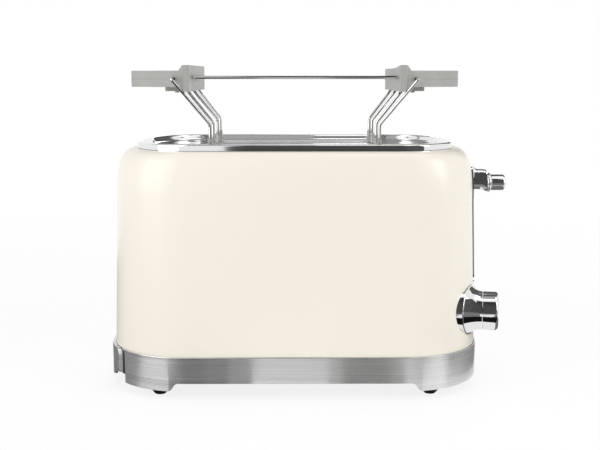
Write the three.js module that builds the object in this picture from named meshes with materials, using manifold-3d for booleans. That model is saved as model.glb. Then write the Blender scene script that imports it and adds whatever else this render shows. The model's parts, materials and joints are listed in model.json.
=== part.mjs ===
// Retro bread toaster with two slots and a lift-off rack for warming buns.
// Millimetres, +Z up. The front faces -Y and the end with the lever faces +X.
import * as THREE from "three";
import { mergeVertices, toCreasedNormals } from "three/addons/utils/BufferGeometryUtils.js";
import Module from "manifold-3d";

const wasm = await Module();
wasm.setup();

// Fits shared by all pieces
const seatGap = 0.3; // between pieces that touch
const runningGap = 0.8; // between a moving piece and the slot that it runs in
const overrun = 12; // how far a cutting tool runs past the piece
const weldDistance = 0.0001; // vertices closer than this are one

// Bread slots
const slotLength = 146;
const slotWidth = 34.8;
const slotSpacing = 78;
const slotCornerRadius = 5;
const slotLipDepth = 6;
const slotLipWall = 1.2;
const slotMargin = 32.6; // from a slot's side to the side of the body

// Sheet-metal chassis that carries the toasting chamber
const chassisMargin = 7; // from the end of a slot to the chassis plate
const chassisSheet = 1.2;
const endRoom = 72.6; // from a chassis plate to the end of the body
const trayNotchHeight = 12; // over the floor of the pan
const tabReach = 24;
const tabDrop = 10; // under the top of the shell

// The body in plan, measured over the metal band at its foot
const bodyCornerRadius = 64;

// Metal band with a lobe at each corner
const bandWall = 1;
const bandTop = 34;
const bandBottom = 13.2;
const lobeBottom = 6.7;
const lobeRun = 8; // length of the curved step down to a lobe
const frontLobeStart = 93.2; // from the middle of the front to the step
const endLobeStart = 27;

// Moulded pan inside the band
const panUnderside = 12.8;
const panFloor = 2.5;
const panWall = 2.6;
const panWindow = 108; // width of the gap in its wall that the crumb tray passes
const ventLength = 46;
const ventWidth = 4;
const ventCorner = 1.8;
const ventPitch = 13;
const ventRows = 5;

// Feet
const footRadius = 7.3;
const footTipRadius = 4.4;
const footTaperHeight = 4.5;
const footEndInset = 43.2; // from the end of the body to the foot's axis
const footSideInset = 18.8; // from the side of the body to the foot's axis

// Enamelled shell
const shellWall = 1;
const shellTop = 196;
const shellDraft = 4; // how far the walls lean in up to the shoulder
const shoulderHeight = 46;
const endShoulder = 17.2; // how far the shoulder runs in at the ends
const sideShoulder = 12.4;
const cornerShoulder = 8.7; // how much smaller the corner's radius gets over the shoulder
const shoulderRoundShare = 2 / 3; // power of the shoulder's curve, 1 for an ellipse
const shellLedge = 6.4; // how far the shell turns in under the top plate

// Polished top plate, raised at its rim
const topPlateHeight = 5.2;
const topPlateEdgeRadius = 1.6;
const topPlateRimWidth = 4;
const topPlateDish = 4.9;
const topPlateDishRun = 4.5;
const topPlateSheet = 1;

// Wire guards on both sides of each slice
const guardSpacing = 29;
const guardWireRadius = 0.9;
const guardBottom = 44;
const guardDrop = 15; // under the top of the shell
const guardWirePitch = 22;
const guardWireCount = 7;

// Mica boards with wound heating ribbon
const elementSpacing = 42;
const elementThickness = 1;
const elementBottom = 46;
const elementDrop = 20; // under the top of the shell
const ribbonRise = 0.5;
const ribbonWidth = 2.2;
const ribbonCount = 6;
const notchDepth = 2.4;

// Heat shields outside the chamber
const shieldGap = 3; // from the boards to the shields
const shieldMargin = 3; // from the shields to the edges of the chassis plates
const shieldSheet = 0.8;
const shieldBottom = 34;
const shieldDrop = 8; // under the top of the shell
const shieldFold = 5;

// Bread carriage
const liftTravel = 57;
const liftLowest = 55; // top of the lifters when they are down
const liftBlade = 1.2;
const liftBladeHeight = 12;
const liftShelfWidth = 16;
const liftShelfLength = 140;
const liftTabLength = 10;
const liftTabCount = 7;
const sliderPlate = 2;
const sliderStandoff = 8; // from the chassis plate to the slider
const sliderEndRoom = 7; // from a lifter's blade to the end of the slider's bridge
const sliderBridgeHeight = 14;
const sliderEarWidth = 14;
const sliderEarDepth = 12;
const sliderEarHeight = 12;
const guideRodRadius = 2;
const guideRodStandoff = 15.8; // from the chassis plate to the rod's axis
const guideRodEnd = 1.8; // over the chassis tab
const rodSocketHeight = 8;
const rodSocketWall = 3;

// Lever
const leverDrop = 32.2; // from the top of the shell to the lever's axis at rest
const leverArmThickness = 2;
const leverArmHeight = 8.6;
const leverNeckAbove = 8.8; // over the lever's axis
const leverNeckBelow = 5.9; // under the lever's axis
const leverNeckFlare = 2; // how much lower the neck is at the collar
const leverNeckFlareRun = 6;
const leverNeckBevel = 2.2;
const leverNeckWidth = 12;
const leverNeckReach = 11.4; // from the end of the body
const leverNeckEdge = 2.6;
const leverSocketDepth = 7.6;
const leverCollarRadius = 8.6;
const leverCollarLength = 3.2;
const leverCapRadius = 6.95;
const leverReach = 27.9; // from the end of the body to the cap's tip
const leverCapEdge = 3;
const leverSlotWidth = 6;

// Trim plate round the lever's slot
const leverPlateWidth = 44;
const leverPlateAbove = 10.1; // over the lever's slot
const leverPlateBelow = 22.7; // under the lever's slot
const leverPlateSheet = 1;
const leverPlateCorner = 4;

// Return spring
const springRadius = 3.5;
const springWireRadius = 0.5;
const springTurns = 11;
const springOffset = 24; // beside the guide rod
const springEarWidth = 9;
const springEarHeight = 2;

// Magnet that holds the carriage down
const magnetOffset = 22; // beside the guide rod
const magnetBaseSize = 18;
const magnetBaseHeight = 8;
const magnetCoilRadius = 7;
const magnetCoilHeight = 15;
const magnetCoreRadius = 4;
const armatureThickness = 3;
const armatureSize = 11;

// Browning knob on the front corner of the lever end
const knobInset = 36; // from the side of the body to the knob's axis
const knobRise = 30.3; // over the foot of the shell
const knobTurn = Math.PI / 17; // how far the axis turns to the front
const knobFlangeRadius = 20.8;
const knobFlangeRise = 0.8; // from the shell, along the axis
const knobFlangeLean = Math.PI / 11; // between the flange's face and the knob's
const knobFlangeEdge = 0.7;
const knobConeRadius = 19.4;
const knobSeam = 10; // from the shell, along the axis
const knobRadius = 15.8;
const knobEnd = 23; // from the shell, along the axis
const knobEdge = 3;
const knobShaftRadius = 3;
const knobShaftGrip = 7;
const knobShaftTail = 13;
const pointerWidth = 1.6;
const pointerDepth = 0.8;

// Control board with the browning timer
const boardInset = 34.6; // from the end of the body
const boardThickness = 1.6;
const boardBottom = 40;
const boardTop = 86;
const boardMargin = 12;
const boardPostWidth = 6;
const boardPostDepth = 5;
const boardLedge = 3;
const timerRadius = 9;
const timerLength = 18;
const switchSize = 7;
const switchDepth = 3;

// Push buttons beside the knob
const buttonRadius = 4.5;
const buttonReach = 2.4; // proud of the band
const buttonHead = 10;
const buttonStemRadius = 2;
const buttonTravel = 1.5;
const buttonPitch = 14;
const buttonMiddle = 4; // behind the middle of the body
const buttonRise = 23.7; // over the foot of the shell
const buttonEdge = 1;

// Crumb tray and its front panel in the band
const trayWidth = 104;
const trayClearance = 2; // from the tray's end to the chassis plate
const traySheet = 1;
const trayRim = 6.2;
const trayPanelWidth = 119;
const trayPanelGap = 4.8; // the shadow gap at each side of the panel
const trayPanelProud = 1.6; // how far the panel stands out of the band
const trayPanelBottom = 14;
const trayLipBottom = 7;
const trayLipWidth = 74;
const trayLipRun = 20;
const trayPanelCorner = 6;

// Cord outlet in the rear wall
const glandAcross = 70;
const glandHeight = 24.5;
const glandRadius = 5.6;
const glandBoreRadius = 3.5;
const glandFlangeRadius = 8;
const glandFlange = 2;
const glandRecess = 0.4;

// Bun rack: two moulded handles, four long bars and four bent legs
const wireRadius = 1.25;
const legInset = 5.5; // from the end of a slot to the leg's axis
const legBendRise = 15; // over the top plate's rim
const legFootDrop = 14.2; // under the top plate's rim
const legBendRadius = 6;
const legTopInset = 14; // from the tower's inner face to the end of the leg
const legTopDrop = 10.5; // under the top of the towers
const legTopOut = 68.5; // from the middle of the body, front to back
const legTopIn = 47.5;
const legInnerTopDrop = 14.4;
const collarRadius = 2.4;
const collarHeight = 9;
const barOuterAcross = 45;
const barInnerAcross = 15;
const barDrop = 9.6; // under the top of the towers
const barSeatDepth = 5.5;
const rackHeight = 61.6; // from the top plate's rim to the top of the towers
const towerStandoff = 14.9; // from the legs' feet to the tower's inner face
const towerTopWidth = 5.6;
const towerFootWidth = 9.2;
const towerFaceWidth = 4.4;
const towerHalfDepth = 66.3;
const towerHeight = 20.6;
const towerDip = 2.2;
const towerDipInset = 4; // from the tower's front face
const armTopDrop = 4.2; // under the top of the towers
const armHeight = 13;
const armReach = 53; // from the tower's inner face to the outer end
const armRootReach = 7.1; // from the tower's inner face
const armRootHalfDepth = 58;
const armSweepShare = 0.28; // of the arm's side, where the curve from the tower ends
const armOuterHalfDepth = 31;
const armCornerRadius = 4;
const ledgeReach = 23.1; // from the tower's inner face
const ledgeHalfDepth = 34;
const gripReach = 16.6; // from the tower's inner face to the opening
const gripWidth = 24;
const gripHalfDepth = 27;
const gripCornerRadius = 7;

// Counts of the facets on round forms
const cornerSteps = 8;
const shoulderSteps = 8;
const innerShoulderSteps = 3;
const roundSides = 24;
const knobSides = 36;
const buttonSides = 16;
const smallSides = 12;
const wireSides = 8;
const thinWireSides = 4;
const bendSteps = 2;
const curveSteps = 5;
const edgeSteps = 3;
const dishSteps = 4;
const coneSteps = 3;
const filletSteps = 2;
const coilSteps = 7;
const coilSides = 4;
const creaseAngle = Math.PI / 7;

// Sizes that follow from the ones above
const chassisSpacing = slotLength + chassisMargin * 2;
const bodyLength = chassisSpacing + endRoom * 2;
const bodyDepth = slotSpacing + slotWidth + slotMargin * 2;
const bodyHalfLength = bodyLength / 2;
const bodyHalfDepth = bodyDepth / 2;
const shellInset = bandWall + seatGap;
const shellBottom = bandTop + seatGap;
const shoulderStart = shellTop - shoulderHeight;
const panTop = panUnderside + panFloor;
const panFloorSeat = panTop + seatGap;
const topPlateBottom = shellTop + seatGap;
const topPlateTop = shellTop + topPlateHeight;
const topPlateFloor = topPlateTop - topPlateDish;
const topPlateUnderside = topPlateFloor - topPlateSheet;
const chassisInner = chassisSpacing / 2;
const trayEnd = chassisInner - trayClearance;
const chassisOuter = chassisInner + chassisSheet;
const chassisTop = shellTop - shellWall - seatGap;
const chamberHalfLength = chassisInner - seatGap;
const shieldSpacing = slotSpacing + elementSpacing + shieldGap * 2;
const chassisDepth = shieldSpacing + shieldMargin * 2;
const tabHeight = shellTop - tabDrop;
const leverHeight = shellTop - leverDrop;
const leverTip = bodyHalfLength + leverReach;
const leverNeckEnd = bodyHalfLength + leverNeckReach;
const leverSlotTop = leverHeight + leverArmHeight / 2 + runningGap;
const leverSlotBottom = leverHeight - leverArmHeight / 2 - liftTravel - runningGap;
const liftTop = liftLowest + liftTravel;
const sliderWidth = slotSpacing + sliderEndRoom * 2;
const sliderInner = chassisOuter + sliderStandoff;
const sliderOuter = sliderInner + sliderPlate;
const sliderBottom = liftTop - liftBladeHeight;
const sliderTop = leverHeight + leverArmHeight / 2 + seatGap;
const rodPlace = chassisOuter + guideRodStandoff;
const earOuter = sliderOuter + sliderEarDepth;
const knobAcross = bodyHalfDepth - knobInset;
const knobHeight = shellBottom + knobRise;
const buttonHeight = shellBottom + buttonRise;
const boardPlace = bodyHalfLength - boardInset;
const boardOuter = boardPlace + boardThickness;
const boardReach = {
  front: buttonMiddle - buttonPitch - boardMargin,
  back: buttonMiddle + buttonPitch + boardMargin,
};
const legAcross = slotWidth / 2 - wireRadius - seatGap;
const legFoot = slotLength / 2 - legInset;
const towerTop = topPlateTop + rackHeight;
const towerBottom = towerTop - towerHeight;
const towerInner = legFoot + towerStandoff;
const towerOuter = towerInner + towerFootWidth;
const armTop = towerTop - armTopDrop;
const armBottom = armTop - armHeight;
const armOuter = towerInner + armReach;

// Finishes
const enamel = { color: 0xf0e9d9, roughness: 0.32, metalness: 0 };
const chrome = { color: 0xd9dbdc, roughness: 0.08, metalness: 1 };
const brushedSteel = { color: 0xb4b5b6, roughness: 0.36, metalness: 1 };
const sheetSteel = { color: 0xa9abab, roughness: 0.45, metalness: 1 };
const blackPlastic = { color: 0x17171a, roughness: 0.6, metalness: 0 };
const greyPlastic = { color: 0x9d9d98, roughness: 0.55, metalness: 0 };
const rubber = { color: 0x141414, roughness: 0.85, metalness: 0 };
const mica = { color: 0xc9b896, roughness: 0.7, metalness: 0 };
const copper = { color: 0xa5622f, roughness: 0.45, metalness: 1 };
const boardGreen = { color: 0x3f6b45, roughness: 0.6, metalness: 0 };

// Turns a closed geometry into a solid that can be cut and joined.
function toSolid(geometry) {
  const bare = geometry.clone();
  bare.deleteAttribute("normal");
  bare.deleteAttribute("uv");
  const merged = mergeVertices(bare, weldDistance);
  const place = merged.attributes.position;
  const corners = [];
  let sixVolumes = 0;
  for (let i = 0; i < merged.index.count; i += 3) {
    const [a, b, c] = [0, 1, 2].map((step) => merged.index.getX(i + step));
    if (a === b || b === c || c === a) continue;
    corners.push(a, b, c);
    const [p, q, r] = [a, b, c].map((n) => new THREE.Vector3().fromBufferAttribute(place, n));
    sixVolumes += p.dot(q.cross(r));
  }
  if (sixVolumes < 0) corners.reverse();
  return new wasm.Manifold(
    new wasm.Mesh({
      numProp: 3,
      vertProperties: new Float32Array(place.array),
      triVerts: new Uint32Array(corners),
    }),
  );
}

// Turns a solid back into a geometry with creased normals.
function toGeometry(solid) {
  const mesh = solid.getMesh();
  const geometry = new THREE.BufferGeometry();
  geometry.setAttribute("position", new THREE.BufferAttribute(mesh.vertProperties, 3));
  geometry.setIndex(new THREE.BufferAttribute(mesh.triVerts, 1));
  return toCreasedNormals(geometry, creaseAngle);
}

function piece(name, solid, finish) {
  const mesh = new THREE.Mesh(toGeometry(solid), new THREE.MeshStandardMaterial(finish));
  mesh.name = name;
  return mesh;
}

function join(solids) {
  return solids.reduce((whole, next) => whole.add(next));
}

function cut(solid, tools) {
  return tools.reduce((whole, tool) => whole.subtract(tool), solid);
}

function block(x, y, z) {
  const size = [x, y, z].map(([low, high]) => high - low);
  const middle = [x, y, z].map(([low, high]) => (low + high) / 2);
  return toSolid(new THREE.BoxGeometry(...size).translate(...middle));
}

// The directions that a shape's own axes and its depth take for each axis of extrusion.
const extrusionAxes = {
  x: [new THREE.Vector3(0, 1, 0), new THREE.Vector3(0, 0, 1), new THREE.Vector3(1, 0, 0)],
  y: [new THREE.Vector3(1, 0, 0), new THREE.Vector3(0, 0, 1), new THREE.Vector3(0, -1, 0)],
  z: [new THREE.Vector3(1, 0, 0), new THREE.Vector3(0, 1, 0), new THREE.Vector3(0, 0, 1)],
};

// Extrudes a shape along an axis, from one place on that axis to another. An arc has two
// facets for each step, and a frame moves the whole.
function prism(shape, axis, from, to, steps = curveSteps, frame = new THREE.Matrix4()) {
  const geometry = new THREE.ExtrudeGeometry(shape, {
    depth: to - from,
    bevelEnabled: false,
    curveSegments: steps,
  });
  geometry.applyMatrix4(new THREE.Matrix4().makeBasis(...extrusionAxes[axis]));
  const start = axis === "y" ? to : from;
  const shift = { x: [start, 0, 0], y: [0, start, 0], z: [0, 0, start] }[axis];
  return toSolid(geometry.translate(...shift).applyMatrix4(frame));
}

function circle(radius, across = 0, up = 0) {
  return new THREE.Shape().absarc(across, up, radius, 0, Math.PI * 2, false);
}

function rod(axis, radius, across, up, from, to, sides = smallSides, frame = undefined) {
  return prism(circle(radius, across, up), axis, from, to, sides / 2, frame);
}

// A rectangle with round corners, centred on a point.
function roundedRectangle(width, height, radius, across = 0, up = 0) {
  const [left, right] = [across - width / 2, across + width / 2];
  const [low, high] = [up - height / 2, up + height / 2];
  const quarter = Math.PI / 2;
  return new THREE.Shape()
    .absarc(right - radius, low + radius, radius, -quarter, 0, false)
    .absarc(right - radius, high - radius, radius, 0, quarter, false)
    .absarc(left + radius, high - radius, radius, quarter, quarter * 2, false)
    .absarc(left + radius, low + radius, radius, quarter * 2, quarter * 3, false);
}

// A solid of revolution about an axis through a point. Profile points are [radius, place].
function turned(profile, axis, across, up, sides = roundSides) {
  const points = profile.map(([radius, place]) => new THREE.Vector2(radius, place));
  const geometry = new THREE.LatheGeometry(points, sides);
  geometry.applyMatrix4(
    new THREE.Matrix4().makeBasis(
      new THREE.Vector3(1, 0, 0),
      new THREE.Vector3(0, 0, 1),
      new THREE.Vector3(0, -1, 0),
    ),
  );
  geometry.applyMatrix4(new THREE.Matrix4().makeBasis(...extrusionAxes[axis]));
  const shift = { x: [0, across, up], y: [across, 0, up], z: [across, up, 0] }[axis];
  return toSolid(geometry.translate(...shift));
}

// An outline inset from the metal band by as much all round.
function even(inset) {
  return { ends: inset, sides: inset, corners: inset };
}

function deeper(outline, inset) {
  const { ends, sides, corners } = outline;
  return { ends: ends + inset, sides: sides + inset, corners: corners + inset };
}

// The shell's outline at a share of the way in over its shoulder.
function shoulderOutline(share) {
  const inset = shellInset + shellDraft;
  return {
    ends: inset + endShoulder * share,
    sides: inset + sideShoulder * share,
    corners: inset + cornerShoulder * share,
  };
}

// One ring of the body's plan, inset from the metal band at the ends, at the sides and in
// the corners' radius.
function planRing({ ends, sides, corners }, height) {
  const radius = bodyCornerRadius - corners;
  const reachX = bodyHalfLength - ends - radius;
  const reachY = bodyHalfDepth - sides - radius;
  const ring = [];
  for (let corner = 0; corner < 4; corner += 1) {
    const centreX = corner === 0 || corner === 3 ? reachX : -reachX;
    const centreY = corner < 2 ? reachY : -reachY;
    for (let step = 0; step <= cornerSteps; step += 1) {
      const angle = ((corner + step / cornerSteps) * Math.PI) / 2;
      const x = centreX + radius * Math.cos(angle);
      const y = centreY + radius * Math.sin(angle);
      ring.push(new THREE.Vector3(x, y, height));
    }
  }
  return ring;
}

// A closed skin through rings of as many points each, from the first ring to the last.
function skin(rings, frame = new THREE.Matrix4()) {
  const count = rings[0].length;
  const corners = [];
  for (let level = 0; level + 1 < rings.length; level += 1) {
    for (let n = 0; n < count; n += 1) {
      const [a, b] = [level * count + n, level * count + ((n + 1) % count)];
      corners.push(a, b, b + count, a, b + count, a + count);
    }
  }
  const last = (rings.length - 1) * count;
  for (let n = 1; n + 1 < count; n += 1) {
    corners.push(0, n + 1, n, last, last + n, last + n + 1);
  }
  const geometry = new THREE.BufferGeometry().setFromPoints(rings.flat());
  geometry.setIndex(corners);
  return toSolid(geometry.applyMatrix4(frame));
}

// A solid with the body's plan. Levels are [outline, height], bottom to top.
function loft(levels, frame = undefined) {
  return skin(levels.map(([outline, height]) => planRing(outline, height)), frame);
}

// A solid of one outline from one height to another.
function slab(outline, low, high) {
  return loft([[outline, low], [outline, high]]);
}

// A path that a tube follows knot by knot.
class KnotPath extends THREE.Curve {
  constructor(knots) {
    super();
    this.knots = knots;
  }

  getUtoTmapping(share) {
    return share;
  }

  getPoint(share, target = new THREE.Vector3()) {
    const place = share * (this.knots.length - 1);
    const before = Math.min(Math.floor(place), this.knots.length - 2);
    return target.lerpVectors(this.knots[before], this.knots[before + 1], place - before);
  }

  getTangent(share, target = new THREE.Vector3()) {
    const last = this.knots.length - 1;
    const knot = Math.round(share * last);
    const way = (from, to) => new THREE.Vector3().subVectors(this.knots[to], this.knots[from]).normalize();
    const before = way(Math.max(knot - 1, 0), Math.max(knot, 1));
    const after = way(Math.min(knot, last - 1), Math.min(knot + 1, last));
    return target.addVectors(before, after).normalize();
  }
}

function tube(knots, radius, sides) {
  const geometry = new THREE.ExtrudeGeometry(circle(radius), {
    steps: knots.length - 1,
    curveSegments: sides / 2,
    extrudePath: new KnotPath(knots),
  });
  return toSolid(geometry);
}

// A wire bent at each inner corner of its route. Each bend has its own radius.
function bentWire(corners, bends, radius, sides) {
  const knots = [corners[0]];
  for (let n = 1; n + 1 < corners.length; n += 1) {
    const back = new THREE.Vector3().subVectors(corners[n - 1], corners[n]).normalize();
    const onward = new THREE.Vector3().subVectors(corners[n + 1], corners[n]).normalize();
    const opening = back.angleTo(onward);
    const reach = bends[n - 1] / Math.tan(opening / 2);
    const start = corners[n].clone().addScaledVector(back, reach);
    const end = corners[n].clone().addScaledVector(onward, reach);
    const bend = new THREE.QuadraticBezierCurve3(start, corners[n], end);
    knots.push(...bend.getPoints(bendSteps));
  }
  knots.push(corners[corners.length - 1]);
  return tube(knots, radius, sides);
}

// The shell's outer surface, moved out by a distance, from a height to its shoulder. Under
// the shell's foot it goes straight down.
function shellForm(outward, bottom, top, steps = shoulderSteps, frame = undefined) {
  const foot = even(shellInset - outward);
  const levels = bottom < shellBottom ? [[foot, bottom], [foot, shellBottom]] : [[foot, bottom]];
  const rise = top - shoulderStart;
  for (let step = 0; step <= steps; step += 1) {
    const angle = (step / steps) * (Math.PI / 2);
    const inward = 1 - Math.abs(Math.cos(angle)) ** shoulderRoundShare;
    const outline = deeper(shoulderOutline(inward), -outward);
    levels.push([outline, shoulderStart + rise * Math.sin(angle) ** shoulderRoundShare]);
  }
  return loft(levels, frame);
}

// What is cut away under the band between two lobes, seen square on. At each end a curved
// step leads down to the lobe.
function lobeNotch(start) {
  const foot = start + lobeRun;
  const halfway = start + lobeRun / 2;
  return new THREE.Shape()
    .moveTo(-foot, lobeBottom - overrun)
    .lineTo(-foot, lobeBottom)
    .bezierCurveTo(-halfway, lobeBottom, -halfway, bandBottom, -start, bandBottom)
    .lineTo(start, bandBottom)
    .bezierCurveTo(halfway, bandBottom, halfway, lobeBottom, foot, lobeBottom)
    .lineTo(foot, lobeBottom - overrun);
}

// A ring with the band's plan, from one inset to a deeper one.
function bandRing(outer, inner, low, high) {
  return slab(even(outer), low, high).subtract(slab(even(inner), low - overrun, high + overrun));
}

function baseBand() {
  const halfWindow = trayPanelWidth / 2 + trayPanelGap;
  const band = cut(bandRing(0, bandWall, lobeBottom, bandTop), [
    prism(lobeNotch(frontLobeStart), "y", -bodyHalfDepth - overrun, bodyHalfDepth + overrun),
    prism(lobeNotch(endLobeStart), "x", 0, bodyHalfLength + overrun),
    block(
      [-bodyHalfLength - overrun, -bodyHalfLength + bodyCornerRadius],
      [-halfWindow, halfWindow],
      [lobeBottom - overrun, bandTop + overrun],
    ),
    rod(
      "y",
      glandRadius + seatGap,
      glandAcross,
      glandHeight,
      bodyHalfDepth - overrun,
      bodyHalfDepth + overrun,
    ),
  ]);
  return piece("base_band", band, brushedSteel);
}

// The tray panel seen square on, made smaller all round by an inset.
function trayPanelOutline(inset) {
  const halfWidth = trayPanelWidth / 2 - inset;
  const [top, bottom, lip] = [bandTop - inset, trayPanelBottom + inset, trayLipBottom + inset];
  const corner = trayPanelCorner - inset;
  const lipStart = trayLipWidth / 2 - inset;
  const lipEnd = Math.min(lipStart + trayLipRun, halfWidth);
  const halfway = (lipStart + lipEnd) / 2;
  return new THREE.Shape()
    .moveTo(-halfWidth + corner, top)
    .quadraticCurveTo(-halfWidth, top, -halfWidth, top - corner)
    .lineTo(-halfWidth, bottom)
    .lineTo(-lipEnd, bottom)
    .bezierCurveTo(-halfway, bottom, -halfway, lip, -lipStart, lip)
    .lineTo(lipStart, lip)
    .bezierCurveTo(halfway, lip, halfway, bottom, lipEnd, bottom)
    .lineTo(halfWidth, bottom)
    .lineTo(halfWidth, top - corner)
    .quadraticCurveTo(halfWidth, top, halfWidth - corner, top);
}

// The panel is a pan of sheet whose edges turn back to the band's inner face.
function trayPanel() {
  const low = trayLipBottom - overrun;
  const reach = [-bodyHalfLength - overrun, -bodyHalfLength + bodyCornerRadius];
  const outside = bandRing(-trayPanelProud, bandWall, low, bandTop).intersect(
    prism(trayPanelOutline(0), "x", ...reach),
  );
  const pocket = bandRing(bandWall - trayPanelProud, bandWall + overrun, low, bandTop).intersect(
    prism(trayPanelOutline(bandWall), "x", ...reach),
  );
  return piece("tray_panel", outside.subtract(pocket), brushedSteel);
}

// The tray's outline in plan, made smaller all round by an inset. Its end follows the band.
function trayForm(inset, low, high) {
  const planInset = bandWall + seatGap + inset;
  const halfWidth = trayWidth / 2 - inset;
  const box = block([-bodyHalfLength, trayEnd - inset], [-halfWidth, halfWidth], [low, high]);
  return box.intersect(slab(even(planInset), low, high));
}

function crumbTray() {
  const rimTop = panFloorSeat + trayRim;
  const outside = trayForm(0, panFloorSeat, rimTop);
  const inside = trayForm(traySheet, panFloorSeat + traySheet, rimTop + overrun);
  return piece("crumb_tray", outside.subtract(inside), sheetSteel);
}

// A post with a groove for the board's back and a ledge for its lower edge.
function boardPost(across) {
  const [near, far] = [across - boardPostWidth / 2, across + boardPostWidth / 2];
  const back = boardPlace - seatGap;
  const front = boardOuter + seatGap + boardLedge;
  const ledgeTop = boardBottom - seatGap;
  return join([
    block([back - boardPostDepth, back], [near, far], [panUnderside, boardTop]),
    block([back - boardPostDepth, front], [near, far], [panUnderside, ledgeTop]),
  ]);
}

function basePan() {
  const outline = slab(even(shellInset), panUnderside, bandTop);
  const hollow = slab(even(shellInset + panWall), panTop, bandTop + overrun);
  const tray = block(
    [-bodyHalfLength - overrun, -bodyHalfLength + bodyCornerRadius],
    [-panWindow / 2, panWindow / 2],
    [panTop, bandTop + overrun],
  );
  const vents = [-1, 1].flatMap((side) =>
    Array.from({ length: ventRows }, (_, n) => {
      const place = (n - (ventRows - 1) / 2) * ventPitch;
      const vent = roundedRectangle(ventLength, ventWidth, ventCorner, side * ventLength, place);
      return prism(vent, "z", panUnderside - overrun, panTop + overrun, 1);
    }),
  );
  const glandHole = rod(
    "y",
    glandRadius + seatGap,
    glandAcross,
    glandHeight,
    bodyHalfDepth - overrun,
    bodyHalfDepth + overrun,
  );
  const socketTop = panTop + rodSocketHeight;
  const socket = rod("z", guideRodRadius + rodSocketWall, rodPlace, 0, panUnderside, socketTop);
  const bore = rod("z", guideRodRadius + seatGap, rodPlace, 0, panTop, socketTop + overrun);
  const hollowed = cut(outline, [hollow, tray, glandHole, ...vents]);
  const posts = [boardReach.front, boardReach.back].map((end) => boardPost(end));
  return piece("base_pan", join([hollowed, socket, ...posts]).subtract(bore), blackPlastic);
}

function foot(name, x, y) {
  const top = panUnderside - seatGap;
  const profile = [
    [0, 0],
    [footTipRadius, 0],
    [(footRadius * 2 + footTipRadius) / 3, footTaperHeight / 2],
    [footRadius, footTaperHeight],
    [footRadius, top],
    [0, top],
  ];
  const mesh = piece(name, turned(profile, "z", 0, 0), rubber);
  mesh.position.set(x, y, 0);
  return mesh;
}

function feet() {
  const [across, along] = [bodyHalfLength - footEndInset, bodyHalfDepth - footSideInset];
  return [-1, 1].flatMap((end) =>
    [-1, 1].map((side) => {
      const name = `foot_${side < 0 ? "front" : "rear"}_${end < 0 ? "left" : "right"}`;
      return foot(name, end * across, side * along);
    }),
  );
}

// Where the three buttons sit, front to back.
function buttonPlaces() {
  return [-1, 0, 1].map((n) => buttonMiddle + n * buttonPitch);
}

function outerShell() {
  const outside = shellForm(0, shellBottom, shellTop);
  const inside = shellForm(
    -shellWall,
    shellBottom - overrun,
    shellTop - shellWall,
    innerShoulderSteps,
  );
  const opening = slab(deeper(shoulderOutline(1), shellLedge), shoulderStart, shellTop + overrun);
  const right = [bodyHalfLength - bodyCornerRadius / 2, bodyHalfLength + overrun];
  const halfSlot = leverSlotWidth / 2;
  const holes = buttonPlaces().map((place) =>
    rod("x", buttonRadius + seatGap, place, buttonHeight, ...right),
  );
  const shell = cut(outside.subtract(inside), [
    opening,
    block(right, [-halfSlot, halfSlot], [leverSlotBottom, leverSlotTop]),
    rod("x", knobShaftRadius + seatGap, 0, 0, -knobEnd, knobEnd, smallSides, knobFrame()),
    ...holes,
  ]);
  return piece("outer_shell", shell, enamel);
}

// The plate's rim is rolled over, and its floor drops into the shell's opening.
function topPlate() {
  const outline = shoulderOutline(1);
  const rise = topPlateTop - topPlateEdgeRadius;
  const levels = [[outline, topPlateBottom]];
  for (let step = 0; step <= edgeSteps; step += 1) {
    const angle = ((step / edgeSteps) * Math.PI) / 2;
    levels.push([
      deeper(outline, topPlateEdgeRadius * (1 - Math.cos(angle))),
      rise + topPlateEdgeRadius * Math.sin(angle),
    ]);
  }
  for (let step = 0; step <= dishSteps; step += 1) {
    const share = step / dishSteps;
    levels.push([
      deeper(outline, topPlateRimWidth + topPlateDishRun * share),
      topPlateTop - (topPlateDish * (1 - Math.cos(share * Math.PI))) / 2,
    ]);
  }
  const floor = slab(deeper(outline, shellLedge + seatGap), topPlateUnderside, topPlateFloor);
  const lipTop = topPlateFloor - topPlateSheet / 2;
  const lips = [-1, 1].map((side) => {
    const lip = roundedRectangle(
      slotLength + slotLipWall * 2,
      slotWidth + slotLipWall * 2,
      slotCornerRadius + slotLipWall,
      0,
      (side * slotSpacing) / 2,
    );
    return prism(lip, "z", topPlateUnderside - slotLipDepth, lipTop, filletSteps);
  });
  const slots = [-1, 1].map((side) => {
    const slot = roundedRectangle(slotLength, slotWidth, slotCornerRadius, 0, (side * slotSpacing) / 2);
    return prism(slot, "z", topPlateBottom - overrun, topPlateTop + overrun, filletSteps);
  });
  const plate = cut(join([loft(levels), floor, ...lips]), slots);
  return piece("top_plate", plate, chrome);
}

// The shell's surface as a thin trim plate with the slot that the lever's arm runs in.
function leverPlate() {
  const skin = shellForm(seatGap + leverPlateSheet, shellBottom, shellTop).subtract(
    shellForm(seatGap, shellBottom - overrun, shellTop),
  );
  const [low, high] = [leverSlotBottom - leverPlateBelow, leverSlotTop + leverPlateAbove];
  const middle = (low + high) / 2;
  const outline = roundedRectangle(leverPlateWidth, high - low, leverPlateCorner, 0, middle);
  const reach = [bodyHalfLength - bodyCornerRadius, bodyHalfLength + overrun];
  const window = prism(outline, "x", ...reach, filletSteps);
  const slot = roundedRectangle(
    leverSlotWidth,
    leverSlotTop - leverSlotBottom,
    leverSlotWidth / 4,
    0,
    (leverSlotTop + leverSlotBottom) / 2,
  );
  const slotTool = prism(slot, "x", ...reach, 1);
  return piece("lever_plate", skin.intersect(window).subtract(slotTool), chrome);
}

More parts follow.
